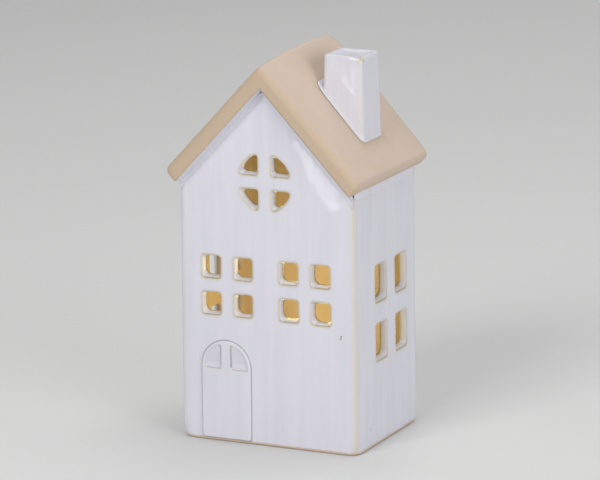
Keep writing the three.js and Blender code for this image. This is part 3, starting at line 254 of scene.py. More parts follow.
def quarter_outline(radius, bar_x, bar_z, corner, grow, across, up):
    """Quarter of a disc beside two bars, anticlockwise from the middle of its inner corner: two straight
    sides along the bars and the disc's arc, with rounded corners."""
    bar_x, bar_z, radius, corner = bar_x - grow, bar_z - grow, radius + grow, corner + grow
    inner = np.array([bar_x + corner, bar_z + corner])
    reach = radius - corner
    low = np.array([math.sqrt(reach ** 2 - inner[1] ** 2), inner[1]])
    high = np.array([inner[0], math.sqrt(reach ** 2 - inner[0] ** 2)])
    low_turn, high_turn = (math.degrees(math.atan2(p[1], p[0])) for p in (low, high))
    down, sideways = np.array([0, -corner]), np.array([-corner, 0])
    return np.concatenate([
        arc(inner, corner, 225, 270, ARC_STEPS),
        straight(inner + down, low + down, across - 2 * ARC_STEPS),
        arc(low, corner, -90, low_turn, 2 * ARC_STEPS),
        arc((0, 0), radius, low_turn, 45, up - ARC_STEPS),
        arc((0, 0), radius, 45, high_turn, across - ARC_STEPS),
        arc(high, corner, high_turn, 180, 2 * ARC_STEPS),
        straight(high + sideways, inner + sideways, up - 2 * ARC_STEPS),
        arc(inner, corner, 180, 225, ARC_STEPS),
    ])


def turned_quarter(outline, side, level, across, up):
    """Mirrors a quarter into its place beside the bars and starts it from its lower left again."""
    count = len(outline)
    start = {(1, 1): 0, (-1, 1): across, (1, -1): 2 * across + up, (-1, -1): across + up}[side, level]
    order = (start + side * level * np.arange(count)) % count
    return outline[order] * np.array([side, level])


# Walls with floor, foot and panes

def spread(*stops):
    """Coordinates that divide each stretch between two stops, given in mm, into a number of steps."""
    values = [stops[0]]
    for steps, stop in zip(stops[1::2], stops[2::2]):
        values += list(np.linspace(values[-1], stop, steps + 1)[1:])
    return np.array(values) * MM


# The walls' upright lines and levels; each pane's cell starts and ends at stops
CORNER_TURNS = np.linspace(0, 90, 5)[1:-1]
FRONT_LINES = spread(-41.6, 3, -36.6, 8, -20.5, 8, -4.4, 2, -0.8, 2, 2.8, 8, 18.9, 8, 35.0, 4, 41.6)
BACK_LINES = spread(41.6, 16, -41.6)
RIGHT_LINES = spread(-31.2, 5, -17.2, 8, 5, 8, 27.2, 2, 31.2)
LEVELS = spread(
    1.3, 1, 2.6, 1, 4.6, 1, 7.5, 1, 12, 2, 22, 3, 34.6, 6, 57, 2, 62.2, 5, 74.4, 7, 89.8, 1, 91.8, 4, 106,
    8, 124.5, 8, 143, 7, WALL_APEX / MM,
)

# Wear of the upright corners: where they start, in their middle, and the left ones' share of it
CORNER_START_WEAR, CORNER_MIDDLE_WEAR, LEFT_SHARE = 0.42, 0.85, 0.5


def columns():
    """The upright lines round the walls, anticlockwise from the left end of the front, as rows of
    sideways fixed part, sideways sign, lengthways fixed part, lengthways sign, corner turn and edge wear."""
    rows = []

    def flat(lines, axis, sign):
        for line in lines:
            wear_and_shade = CORNER_START_WEAR if abs(line) == np.abs(lines).max() else 0
            rows.append((line, 0, 0, sign, 0, 0, wear_and_shade) if axis == "x" else (0, sign, line, 0, 0, 0, wear_and_shade))

    def corner(side, end, start):
        for turn in CORNER_TURNS:
            angle = math.radians(start + turn)
            wear_and_shade = (CORNER_MIDDLE_WEAR - abs(turn - 45) / 90) * (LEFT_SHARE if side < 0 else 1)
            rows.append((0, side, 0, end, math.cos(angle), math.sin(angle), wear_and_shade))

    flat(FRONT_LINES, "x", -1)
    corner(1, -1, -90)
    flat(RIGHT_LINES, "y", 1)
    corner(1, 1, 0)
    flat(BACK_LINES, "x", 1)
    corner(-1, 1, 90)
    flat(RIGHT_LINES[::-1], "y", -1)
    corner(-1, -1, 180)
    return np.array(rows).T


FIXED_X, SIGN_X, FIXED_Y, SIGN_Y, TURN_X, TURN_Y, CORNER_WEAR = columns()
IN_CORNER = (SIGN_X != 0) & (SIGN_Y != 0)
OUTER_FLAT = (FRONT_LINES[-1], RIGHT_LINES[-1])


def ring(half_x, half_y, radius, level, kept=(0.0, 0.0)):
    """Rounded rectangle round the walls' upright lines: a line on a straight side keeps its place up to the
    limit called kept and is spread evenly beyond it, and a corner line turns round the corner's centre."""
    def along(line, flat, half, limit):
        size = np.abs(line)
        stretched = limit + (size - limit) * (half - radius - limit) / (flat - limit)
        return np.sign(line) * np.where(size > limit, stretched, size)

    x = np.where(IN_CORNER, SIGN_X * (half_x - radius) + radius * TURN_X,
                 np.where(SIGN_X != 0, SIGN_X * half_x, along(FIXED_X, OUTER_FLAT[0], half_x, kept[0])))
    y = np.where(IN_CORNER, SIGN_Y * (half_y - radius) + radius * TURN_Y,
                 np.where(SIGN_Y != 0, SIGN_Y * half_y, along(FIXED_Y, OUTER_FLAT[1], half_y, kept[1])))
    return points(x, y, level)


# The outermost lines of the panes' cells, which keep their place where the skin is drawn in
WINDOW_LINES = (36.6 * MM, 27.2 * MM)


def wall_ring(inset, level):
    """The walls' outline at a level, leaning in as it rises and drawn in by an inset; inside the wall's
    thickness its corners have the inner radius, and at the foot the outer ones are rounder."""
    inside = inset > WALL / 2
    flare = FOOT_CORNER * np.clip(1 - level / FOOT_RISE, 0, 1) ** 2
    radius = INNER_CORNER + (WALL - inset) if inside else OUTER_CORNER - inset + flare
    half_x, half_y = HALF_WIDTH - LEAN * level - inset, HALF_DEPTH - LEAN * level - inset
    return ring(half_x, half_y, radius, level, WINDOW_LINES)


def on_front(across, level, depth):
    """A place in the front wall, some depth behind its face."""
    return points(across, depth - (HALF_DEPTH - LEAN * level), level)


def on_right(across, level, depth):
    """The same in the right wall, where across runs from front to back."""
    return points(HALF_WIDTH - LEAN * level - depth, across, level)


def on_left(across, level, depth):
    """The same in the left wall, where across runs from back to front."""
    return points(depth - (HALF_WIDTH - LEAN * level), -across, level)


# Each pane's opening through the wall, in mm: how far its outline has grown, how deep it is, and its wear;
# towards the inner face the wear turns olive and then bare clay, which also paints the shade at the opening's
# inner edge
REVEAL = (
    (1.35, 0.0, 0.2), (0.75, 0.02, 0.55), (0.25, 0.1, 0.9), (-0.1, 0.3, 1.0), (-0.3, 0.6, 0.3),
    (-0.4, 1.1, 0.1), (-0.42, 2.3, 0.3), (-0.4, 3.3, 1.2), (-0.25, 4.1, 1.45), (0.2, 4.4, 1.8),
)
# What changes towards the inside: the corners' radius, how far the left jamb and the sill close in, in mm,
# and the least wear, which in the side walls, most of all the left, also paints the shade deep in the jambs as
# broken glaze and bare clay. The sill's outer edge is worn a little more than the rest
CORNER_GROWTH = 2.2 * MM
CLOSING_IN = {"front": (0.5, 0.9), "right": (0.0, 1.3), "left": (0.0, 1.3)}
BARED_AND_SHADED = {"front": 0.0, "right": 0.9, "left": 2.6}
SILL_WEAR = 0.25

RIGHT_START = len(FRONT_LINES) + len(CORNER_TURNS)
LEFT_START = RIGHT_START + len(RIGHT_LINES) + len(BACK_LINES) + 2 * len(CORNER_TURNS)
WALL_FACES = {
    "front": (on_front, 0, FRONT_LINES),
    "right": (on_right, RIGHT_START, RIGHT_LINES),
    "left": (on_left, LEFT_START, -RIGHT_LINES[::-1]),
}


def windows():
    """Each opening: its wall, the middle of its outline, the cell of upright lines and levels that it takes
    the place of, and a function that gives its outline for a growth, a growth of the corners' radius and the
    numbers of steps across and up."""
    found = []

    def pane(wall, middle, pitch, size):
        def outline(grow, corner, across, up):
            return pane_outline(size, PANE_CORNER + corner, grow, across, up)

        cell = [(centre - width / 2, centre + width / 2) for centre, width in zip(middle, pitch)]
        found.append((wall, middle, cell, outline))

    def quarter(middle, *signs):
        def outline(grow, corner, across, up):
            rounding = ROUND_CORNER + corner / 2
            shape = quarter_outline(ROUND_RADIUS, ROUND_BAR, ROUND_BAR, rounding, grow, across, up)
            return turned_quarter(shape, *signs, across, up)

        cell = [sorted((centre, centre + sign * reach))
                for centre, sign, reach in zip(middle, signs, ROUND_CELL)]
        found.append(("front", middle, cell, outline))

    for middle in product(PANE_CENTRES_X, PANE_CENTRES_Z):
        pane("front", middle, PANE_PITCH, PANE_SIZE)
    for (wall, sign), y, z in product((("right", 1), ("left", -1)), SIDE_CENTRES_Y, SIDE_CENTRES_Z):
        pane(wall, (sign * y, z), SIDE_PITCH, SIDE_SIZE)
    for signs in product((-1, 1), repeat=2):
        quarter((FACADE_SHIFT, ROUND_CENTRE_Z), *signs)
    return found


def cell_border(block):
    """The border of a block of points, anticlockwise from its lower left corner."""
    return np.concatenate([block[0, :-1], block[:-1, -1], block[-1, :0:-1], block[:0:-1, 0]])


def nearest(values, wanted):
    """The number of the value nearest to a wanted one."""
    return int(np.argmin(np.abs(values - wanted)))


# Rings round the floor, each with its level: some way in from the walls' inner face above and below it, and
# some way out from the opening's edge
SKIRTING = ((0.1 * MM, 11 * MM), (0.5 * MM, 10.2 * MM), (1.3 * MM, FLOOR_TOP))
OPENING = ((0.5 * MM, FLOOR_TOP), (0, FLOOR_TOP - 0.4 * MM), (0, RECESS + 0.4 * MM), (0.5 * MM, RECESS))
UNDERNEATH = (
    (1.0 * MM, RECESS), (0.1 * MM, RECESS - 0.5 * MM), (0, 0.9 * MM), (-0.3 * MM, 0.25 * MM), (-0.9 * MM, 0),
)


def walls(finish):
    """The walls, floor and foot as one closed skin: the outline is carried up the outside, over the top that
    follows the roof's slope, down the inside, over the floor to its opening and back under the foot. The
    slope cuts each level short. A cell of the skin is left out at each pane, inside and outside, and rings
    of the pane's outline join the two."""
    top_outside, top_inside = (WALL_APEX - np.abs(wall_ring(inset, EAVES)[:, 0]) * SLOPE
                               for inset in (0, WALL))
    foot = [wall_ring(FOOT_ROUND * (1 - math.sin(turn)), FOOT_ROUND * (1 - math.cos(turn)))
            for turn in np.radians((0, 30, 60))]
    outside = [wall_ring(0, np.minimum(level, top_outside)) for level in LEVELS]
    inner_levels = LEVELS[LEVELS > SKIRTING[0][1]][::-1]
    inside = [wall_ring(WALL, np.minimum(level, top_inside)) for level in inner_levels]
    skirting, underneath = ([wall_ring(WALL + inset, level) for inset, level in rings]
                            for rings in (SKIRTING, UNDERNEATH))
    hole = [ring(OPENING_HALF_LENGTH + grow, OPENING_HALF_WIDTH + grow, OPENING_CORNER + grow, level)
            for grow, level in OPENING]
    floor_over, floor_under = (skirting[-1] + hole[0]) / 2, (hole[-1] + underneath[0]) / 2
    rings = foot + outside + inside + skirting + [floor_over] + hole + [floor_under] + underneath + foot[:1]
    grid = np.stack(rings)

    first_outside, first_inside = len(foot), len(foot) + len(outside)
    wear_and_shade = np.zeros(grid.shape[:2])
    wear_and_shade[first_outside:first_inside] = CORNER_WEAR
    wear_and_shade[first_inside:] = BARE_CLAY
    keep = np.ones((grid.shape[0] - 1, grid.shape[1]), bool)
    skin = Skin()
    for wall, middle, (across, levels), outline in windows():
        place, start, lines = WALL_FACES[wall]
        first, last = (start + nearest(lines, end) for end in across)
        low, high = (nearest(LEVELS, level) for level in levels)
        below, above = (first_inside + nearest(inner_levels, LEVELS[row]) for row in (low, high))
        low, high = low + first_outside, high + first_outside
        outer = grid[low:high + 1, first:last + 1]
        inner = grid[above:below + 1, first:last + 1][::-1]
        keep[low:high, first:last] = False
        keep[above:below, first:last] = False
        loops = [cell_border(outer)]
        rims = [np.zeros(len(loops[0]))]
        for grow, depth, rim in REVEAL:
            deep = depth * MM / WALL
            shape = outline(grow * MM, CORNER_GROWTH * deep, last - first, high - low)
            part = (shape.max(axis=0) - shape) / (shape.max(axis=0) - shape.min(axis=0))
            shape = shape + np.array(CLOSING_IN[wall]) * MM * deep * part
            loops.append(place(middle[0] + shape[:, 0], middle[1] + shape[:, 1], depth * MM))
            at_sill = part[:, 1] ** 8 * (depth < 1)
            # Deep in the side walls' jambs the least wear also paints their shade
            rims.append(max(rim, BARED_AND_SHADED[wall] * deep) * (1 + SILL_WEAR * at_sill))
        loops.append(cell_border(inner))
        rims.append(np.full(len(rims[0]), BARE_CLAY))
        skin.add(np.stack(loops), edge=np.stack(rims), closed=True)
    skin.add(grid, edge=wear_and_shade, closed=True, keep=keep)
    skin.piece("stoneware_walls", "house", ["house_walls"], "white_glaze", finish)


# Door panel in low relief

DOOR_ACROSS, DOOR_UP, DOOR_SIDE_STEPS, DOOR_LEAF_STEPS = 8, 10, 4, 10
DOOR_FOOT = 1.7 * MM
DOOR_CELL = DOOR_SILL - 3 * MM
DOOR_FRAME = 1.0 * MM
DOOR_MIDDLE = 25 * MM
DOOR_BACK = 0.8 * MM
# The panel's edge, in mm: how far its outline is drawn in, how deep it is, and its wear; its negative values
# paint grey shade in the corner where the panel rises from the wall
DOOR_BORDER = (
    (-0.5, 0.8, 0), (-0.5, 0, -0.3), (-0.42, -0.03, -0.7), (-0.12, -0.05, -1), (0, -0.14, -1),
    (0.02, -0.5, -0.3), (0.14, -0.8, 0.15), (0.42, -0.93, 0.1), (1, -0.95, 0),
)
# The rim of each light: how far its outline has grown in mm, its share of the light's depth, and its wear,
# which breaks the glaze at the sill; at the bar it turns into painted grey shade along the step
LIGHT_RIM = ((0.7, 0.0, 0.3), (0.35, 0.06, 0.7), (0.12, 0.25, 1.0), (0.0, 0.6, 0.9), (-0.1, 0.95, 0.4))
LIGHT_RADIUS = DOOR_RADIUS - DOOR_MARGIN
LIGHT_CORNER = 0.9 * MM
LIGHT_DEPTHS = (1.15 * MM, 0.3 * MM)
SILL_BAND, BAR_BAND = 0.7 * MM, 0.9 * MM
# Painted shade along the bar and over the lights' sunk floors
BAR_SHADE, LIGHT_FLOOR_SHADE = -1.3, -0.35


def door_arch(radius, side):
    """A quarter of the arch, from its spring to its top, more closely spaced towards the top."""
    angle = np.radians(np.concatenate([
        np.linspace(0, 45, DOOR_UP - DOOR_SIDE_STEPS + 1)[:-1], np.linspace(45, 90, DOOR_ACROSS + 1)]))
    return np.stack([side * radius * np.cos(angle), DOOR_SPRING + radius * np.sin(angle)], axis=-1)


def door_outline(shrink):
    """The arched outline drawn in by an amount, anticlockwise from its lower left corner."""
    radius, foot = DOOR_RADIUS - shrink, DOOR_FOOT + shrink
    right = np.concatenate([
        straight((radius, foot), (radius, DOOR_CELL), DOOR_LEAF_STEPS),
        straight((radius, DOOR_CELL), (radius, DOOR_SPRING), DOOR_SIDE_STEPS),
        door_arch(radius, 1),
    ])
    left = (right * np.array([-1, 1]))[::-1][1:]
    return np.concatenate([straight((-radius, foot), (radius, foot), 2 * DOOR_ACROSS), right, left[:-1]])


def door(finish):
    """The door: its outline is carried out of the wall and over a rounded edge to the face. Below the sill
    the face is a plain grid. Above it each light is a quarter of a disc, let in deepest at the sill, and
    rings of its outline join the face to the light's floor."""
    skin = Skin()
    loops, wear_and_shade = [], []
    back = door_outline(0) - (0, DOOR_MIDDLE)
    for scale in (0.0, 0.5):
        loops.append(on_front(DOOR_X + scale * back[:, 0], DOOR_MIDDLE + scale * back[:, 1], DOOR_BACK))
        wear_and_shade.append(np.zeros(len(back)))
    for shrink, depth, rim in DOOR_BORDER:
        shape = door_outline(shrink * MM)
        loops.append(on_front(DOOR_X + shape[:, 0], shape[:, 1], depth * MM))
        wear_and_shade.append(np.full(len(shape), rim))
    skin.add(np.stack(loops), edge=np.stack(wear_and_shade), closed=True)

    radius, foot = DOOR_RADIUS - DOOR_FRAME, DOOR_FOOT + DOOR_FRAME
    across = np.linspace(-radius, radius, 2 * DOOR_ACROSS + 1)
    level = np.linspace(foot, DOOR_CELL, DOOR_LEAF_STEPS + 1)[:, None]
    skin.add(on_front(DOOR_X + across, level, -DOOR_RELIEF))

    def let_in(shape, share):
        depth = np.interp(shape[:, 1], (DOOR_SILL, DOOR_SPRING + LIGHT_RADIUS), LIGHT_DEPTHS)
        return on_front(DOOR_X + shape[:, 0], shape[:, 1], share * depth - DOOR_RELIEF)

    for side in (1, -1):
        arch = door_arch(radius, side)
        inner, outer, spring = (0, DOOR_CELL), (side * radius, DOOR_CELL), (side * radius, DOOR_SPRING)
        if side > 0:
            cell = [straight(inner, outer, DOOR_ACROSS), straight(outer, spring, DOOR_SIDE_STEPS), arch[:-1],
                    straight(arch[-1], inner, DOOR_UP)]
        else:
            cell = [straight(outer, inner, DOOR_ACROSS), straight(inner, arch[-1], DOOR_UP), arch[:0:-1],
                    straight(spring, outer, DOOR_SIDE_STEPS)]
        loops = [let_in(np.concatenate(cell), 0)]
        wear_and_shade = [np.zeros(len(loops[0]))]
        for grow, share, rim in LIGHT_RIM:
            shape = quarter_outline(LIGHT_RADIUS, DOOR_BAR, DOOR_SILL - DOOR_SPRING, LIGHT_CORNER, grow * MM,
                                    DOOR_ACROSS, DOOR_UP)
            shape = turned_quarter(shape, side, 1, DOOR_ACROSS, DOOR_UP) + (0, DOOR_SPRING)
            loops.append(let_in(shape, share))
            # Along the bar the wear turns into painted grey shade
            at_bar = np.exp(-((np.abs(shape[:, 0]) - DOOR_BAR) / BAR_BAND) ** 2)
            at_sill = np.exp(-((shape[:, 1] - DOOR_SILL) / SILL_BAND) ** 2)
            wear_and_shade.append(rim * np.where(at_sill > 0.3, at_sill, BAR_SHADE * at_bar))
        centre = shape.mean(axis=0)
        # The light's floor is painted a little darker as its shade
        for scale in (0.9, 0.5, 0.0):
            loops.append(let_in(centre + scale * (shape - centre), 1))
            wear_and_shade.append(np.full(len(shape), LIGHT_FLOOR_SHADE))
        skin.add(np.stack(loops), edge=np.stack(wear_and_shade), closed=True)
    skin.piece("door_panel", "house", None, "white_glaze", finish)


# Fillets of glaze between the walls and the roof's underside

# How far the fillets reach into the wall and up into the slab, where they are hidden
COVE_INTO_WALL, COVE_INTO_SLAB = 0.8 * MM, 0.9 * MM
# On the gables: how much taller those of the right slope are, the width over which that sets in, and the
# rounding at the apex
COVE_SAG, SAG_REACH, APEX_ROUND = 0.9, 12 * MM, 0.6 * MM
# Under the eaves: their width, height, and wear and painted shade as shares of the profile's. Near each end
# they fade out and sink into the wall. They start where the slab's end does
EAVE_FLARE, EAVE_DROP, EAVE_WEAR_AND_SHADE = 0.7, 1.6, 0.3
EAVE_MARGIN, EAVE_FADE, EAVE_SUNK = 0.6 * MM, 4 * MM, 0.5 * MM
EAVE_END_RISE = JOINT_LINE + (SLAB * math.sin(PITCH) - EAVE_OVERHANG) * (SLOPE + 1 / SLOPE)


def cove_profile():
    """A hollow quarter round: distances out from the wall and down from the slab, with the wear; its negative
    values paint a grey shade line where the fillet meets the wall.
    """
    turn = np.radians(np.linspace(0, 90, 6))
    above = -JOINT_LINE * math.cos(PITCH) - COVE_INTO_SLAB
    outwards = np.concatenate([
        [-COVE_INTO_WALL, COVE], COVE * (1 - np.sin(turn)), [-0.05 * MM, -COVE_INTO_WALL]])
    downwards = np.concatenate([[above, above], COVE * (1 - np.cos(turn)), [COVE + 0.25 * MM, COVE]])
    # Negative values paint grey shade where the fillet meets the wall
    wear_and_shade = np.array([0, 0, 0.1, 0, 0, 0, -0.15, -0.4, -0.5, 0])
    return outwards, downwards, wear_and_shade


def coves(finish):
    """The profile carried along each gable from one eave over the apex to the other, and along each eave,
    where it is drawn taller and meets the slab's end, which is cut square to the slope."""
    outwards, downwards, wear_and_shade = cove_profile()
    reach = TOP_HALF_WIDTH - COVE_INTO_WALL
    across = reach * np.sin(np.linspace(-math.pi / 2, math.pi / 2, 41))[:, None]
    for name, face in (("front_cove", -1), ("back_cove", 1)):
        sagging = 1 + COVE_SAG * np.clip(0.5 + across / SAG_REACH, 0, 1)
        level = (WALL_APEX - np.sqrt(across ** 2 + APEX_ROUND ** 2) * SLOPE
                 - np.where(downwards > 0, sagging, 1) * downwards / math.cos(PITCH))
        cove(name, points(across, face * (HALF_DEPTH - LEAN * level + outwards), level), wear_and_shade, finish)
    along = np.linspace(-HALF_DEPTH, HALF_DEPTH, 31)[:, None]
    for name, side in (("left_cove", -1), ("right_cove", 1)):
        fading = np.sqrt(np.clip((HALF_DEPTH - EAVE_MARGIN - np.abs(along)) / EAVE_FADE, 0, 1))
        out = EAVE_FLARE * fading * outwards - (1 - fading) * EAVE_SUNK
        level = EAVES + EAVE_END_RISE + out / SLOPE - fading * EAVE_DROP * downwards
        cove(name, points(side * (TOP_HALF_WIDTH + out), along, level), EAVE_WEAR_AND_SHADE * wear_and_shade, finish)


def cove(name, tube, wear_and_shade, finish):
    """A tube of the profile, with its ends closed."""
    skin = Skin()
    skin.add(tube, edge=wear_and_shade, closed=True)
    for end in (0, -1):
        middle = np.broadcast_to(tube[end].mean(axis=0), tube[end].shape)
        skin.add(np.stack([tube[end], middle]), closed=True)
    skin.piece(name, "house", None, "white_glaze", finish)


# Roof slab

SLAB_REACH = EAVE_TIP / math.cos(PITCH)
TOP_ROUND = 3.3 * MM
LOW_ROUND = 2.0 * MM
LOW_SHARE = 0.55
END_ROUNDS = {-1: 3.0 * MM, 1: 2.3 * MM}
RIDGE_ROUND = 1.6 * MM
SLAB_STEPS, EDGE_STEPS, THICKNESS_STEPS, MIDDLE_STATIONS = 48, 4, 3, 25
# The even share of the section's spacing, of which the rest is closer at the ridge, and the gables' wear
SPREAD_EVENLY = 0.4
SLAB_END_WEAR = 0.3
# The ridge's worn back end: where it starts, how far it takes to its full depth, that depth, and its width
WORN_FROM, WORN_REACH, WORN_DEPTH, WORN_WIDTH = 27 * MM, 12 * MM, 1.5 * MM, 7 * MM


def crown(x, y):
    """How far the slab's top rises along the ridge: a parabola along the house that fades to the eaves, and
    the back end of the ridge, worn down."""
    along = (y - CROWN_CENTRE) / (ROOF_HALF_LENGTH + CROWN_CENTRE)
    rise = RIDGE_CROWN * (1 - along ** 2) * np.maximum(0, 1 - np.abs(x) / EAVE_TIP)
    wear_and_shade_kept = np.clip((y - WORN_FROM) / WORN_REACH, 0, 1) ** 2
    return rise - WORN_DEPTH * wear_and_shade_kept * np.exp(-(x / WORN_WIDTH) ** 2)


def roof_top(x, y):
    """The height of the slab's upper surface."""
    return UNDERSIDE_APEX + SLAB_RISE - np.abs(x) * SLOPE + crown(x, y)


def bent(along, up, y):
    """Bends a flat slab over the ridge: along the slope from the ridge, and up through its thickness. The
    eaves are cut square to the slope, and the ridge is rounded on top."""
    part = up / SLAB
    low = EAVE_TIP - SLAB * math.sin(PITCH)
    x = along / SLAB_REACH * (low + (EAVE_TIP - low) * part)
    folded = np.sqrt(x ** 2 + (RIDGE_ROUND * part) ** 2)
    z = UNDERSIDE_APEX - folded * SLOPE + SLAB_RISE * part
    return points(x, y, z + part * crown(x, y))


def slab_sides(inset):
    """The slab's section drawn in by an amount, less at the bottom, as four sides: bottom, right eave, top,
    left eave."""
    low_inset = LOW_SHARE * inset
    low_radius, top_radius = LOW_ROUND - low_inset, TOP_ROUND - inset
    low_reach, top_reach = SLAB_REACH - LOW_ROUND, SLAB_REACH - TOP_ROUND
    steps = np.linspace(-1, 1, SLAB_STEPS + 1)
    spacing = SPREAD_EVENLY * steps + (1 - SPREAD_EVENLY) * steps ** 3
    bottom = np.stack([low_reach * spacing, np.full_like(steps, low_inset)], axis=-1)
    top = np.stack([top_reach * spacing[::-1], np.full_like(steps, SLAB - inset)], axis=-1)
    high = SLAB - TOP_ROUND
    eave = np.concatenate([
        arc((low_reach, LOW_ROUND), low_radius, -90, 0, EDGE_STEPS),
        straight((low_reach + low_radius, LOW_ROUND), (top_reach + top_radius, high), THICKNESS_STEPS),
        arc((top_reach, high), top_radius, 0, 90, EDGE_STEPS), [(top_reach, SLAB - inset)]])
    return bottom, eave, top, (eave * np.array([-1, 1]))[::-1]


def roof(finish):
    """The slab: its rounded section is carried from gable to gable, drawn in at each end to round the edge,
    and the ends are closed by a sheet between the section's four sides."""
    turns = np.radians(np.linspace(0, 90, EDGE_STEPS + 1))

    def end_stations(face, rounding):
        return [(face * (ROOF_HALF_LENGTH - rounding * (1 - math.cos(turn))), rounding * (1 - math.sin(turn)),
                 math.cos(turn / 2)) for turn in turns]

    front, back = (end_stations(*end) for end in END_ROUNDS.items())
    between = np.linspace(front[-1][0], back[-1][0], MIDDLE_STATIONS + 2)[1:-1]
    rounded = np.concatenate([np.zeros(SLAB_STEPS), np.ones(2 * EDGE_STEPS + THICKNESS_STEPS)] * 2)
    skin = Skin()
    loops, wear_and_shade = [], []
    for y, inset, end_wear in front + [(y, 0, 0) for y in between] + back[::-1]:
        section = np.concatenate([side[:-1] for side in slab_sides(inset)])
        loops.append(bent(section[:, 0], section[:, 1], y))
        wear_and_shade.append(np.maximum(rounded, end_wear))
    skin.add(np.stack(loops), edge=np.stack(wear_and_shade), closed=True)
    for face, rounding in END_ROUNDS.items():
        bottom, right, top, left = slab_sides(rounding)
        top, left = top[::-1], left[::-1]
        u = np.linspace(0, 1, len(bottom))[None, :, None]
        v = np.linspace(0, 1, len(right))[:, None, None]
        corners = (1 - u) * ((1 - v) * bottom[0] + v * top[0]) + u * ((1 - v) * bottom[-1] + v * top[-1])
        sheet = (1 - v) * bottom[None] + v * top[None] - corners
        sheet = sheet + (1 - u) * left[:, None] + u * right[:, None]
        skin.add(bent(sheet[..., 0], sheet[..., 1], face * ROOF_HALF_LENGTH), edge=SLAB_END_WEAR)
    skin.piece("clay_roof", "house", ["roof"], "bare_clay", finish)


# Chimney

CHIMNEY_STEPS = 10
# The dished top: shares of the outline, and how far below the top in mm
DISH = ((0, 1.35), (0.35, 1.3), (0.6, 1.15))
# The rim, in mm: how far it is drawn in, how far below the top it is, and its wear
RIM = (
    (3.1, 0.8, 0), (2.5, 0.35, 0.1), (1.9, 0.08, 0.25), (1.35, 0, 0.3), (0.85, 0.1, 0.3), (0.42, 0.4, 0.35),
    (0.12, 0.9, 0.3), (0.0, 1.6, 0.2),
)
# The sides: shares of the way down to the flange's top, and their corners' wear
SIDES = (0.08, 0.25, 0.45, 0.65, 0.85, 0.96)
SIDE_CORNER_WEAR = 0.62
# The flange: shares of its reach, its height over the roof in mm, and its wear; its negative values paint a
# grey shade line in the joint with the chimney, on the left side
FLANGE = (
    (0.0, 1.75, -0.3), (0.15, 1.35, -0.7), (0.5, 1.2, 0), (0.85, 1.1, 0.3), (1.0, 0.75, 0.5),
    (1.0, 0.12, 0.9), (0.4, 0.06, 0),
)
FLANGE_TOP, FLANGE_BOTTOM = 1.9 * MM, 0.06 * MM
# The flange's reach in mm uphill, downhill and to the gables, where it shrinks to a share downhill
REACH_UPHILL, REACH_DOWNHILL, REACH_ALONG, DOWNHILL_SHARE = 3.0, 0.15, 1.25, 0.35
# The rim's front right corner is worn down: how deep and how far round, and how its glaze breaks
TIP_DROP, TIP_REACH, TIP_WEAR, TIP_WEAR_REACH = 0.8 * MM, 6 * MM, 0.75, 3 * MM
CORNER_REACH = 1.6 * MM


def chimney(finish):
    """The chimney: a rounded rectangle carried from the middle of the dished top over the rim and down the
    tapering sides, then out over the flange and in again on the slope. Each level near the roof follows the
    slab's upper surface."""
    size = (2 * CHIMNEY_HALF[0], 2 * CHIMNEY_HALF[1])
    plain, grown = (pane_outline(size, CHIMNEY_CORNER, grow, CHIMNEY_STEPS, CHIMNEY_STEPS)
                    for grow in (0, MM))
    outwards = (grown - plain) / MM
    from_tip = ((plain - (CHIMNEY_HALF[0], -CHIMNEY_HALF[1])) ** 2).sum(axis=1)
    from_corners = ((np.abs(plain) - CHIMNEY_HALF) ** 2).sum(axis=1)
    loops, wear_and_shade = [], []

    def level(offset, height, rim):
        place = plain + offset
        x, y = CHIMNEY_CENTRE[0] + place[:, 0], CHIMNEY_CENTRE[1] + place[:, 1]
        loops.append(points(x, y, height(x, y) if callable(height) else height))
        wear_and_shade.append(np.broadcast_to(rim, len(x)))

    def over_roof(rise):
        return lambda x, y: roof_top(x, y) + rise

    for scale, drop in DISH:
        level((scale - 1) * plain, CHIMNEY_TOP - drop * MM, 0)
    tip_drop = TIP_DROP * np.exp(-from_tip / TIP_REACH ** 2)
    tip_wear = TIP_WEAR * np.exp(-from_tip / TIP_WEAR_REACH ** 2)
    for inset, drop, rim in RIM:
        level(-inset * MM * outwards, CHIMNEY_TOP - drop * MM - tip_drop, rim + tip_wear)
    side_wear = SIDE_CORNER_WEAR * np.exp(-from_corners / CORNER_REACH ** 2)
    full_fall = CHIMNEY_TOP - over_roof(FLANGE_TOP)(*(plain + CHIMNEY_CENTRE).T)
    for part in SIDES:
        def height(x, y, part=part):
            return CHIMNEY_TOP + part * (over_roof(FLANGE_TOP)(x, y) - CHIMNEY_TOP)
        level(CHIMNEY_TAPER * part * full_fall[:, None] * outwards, height, side_wear)
    base = CHIMNEY_TAPER * full_fall[:, None] * outwards
    downhill = np.interp(plain[:, 0], (-CHIMNEY_HALF[0], CHIMNEY_HALF[0]), (1, DOWNHILL_SHARE))
    sideways = np.where(outwards[:, 0] < 0, REACH_UPHILL, REACH_DOWNHILL)
    reach = np.stack([sideways, REACH_ALONG * downhill], axis=-1) * MM * outwards
    # The painted shade in the flange's joint fades out towards the right
    joint_shade_share = np.interp(plain[:, 0], (-CHIMNEY_HALF[0], 0.4 * CHIMNEY_HALF[0]), (1, 0))
    for part, rise, rim in FLANGE:
        level(base + part * reach, over_roof(rise * MM), rim * joint_shade_share if rim < 0 else rim)
    for scale in (0.5, 0):
        level((scale - 1) * plain, over_roof(FLANGE_BOTTOM), 0)
    skin = Skin()
    skin.add(np.stack(loops), edge=np.stack(wear_and_shade), closed=True)
    skin.piece("stoneware_chimney", "house", ["chimney"], "white_glaze", finish)


# Finishes

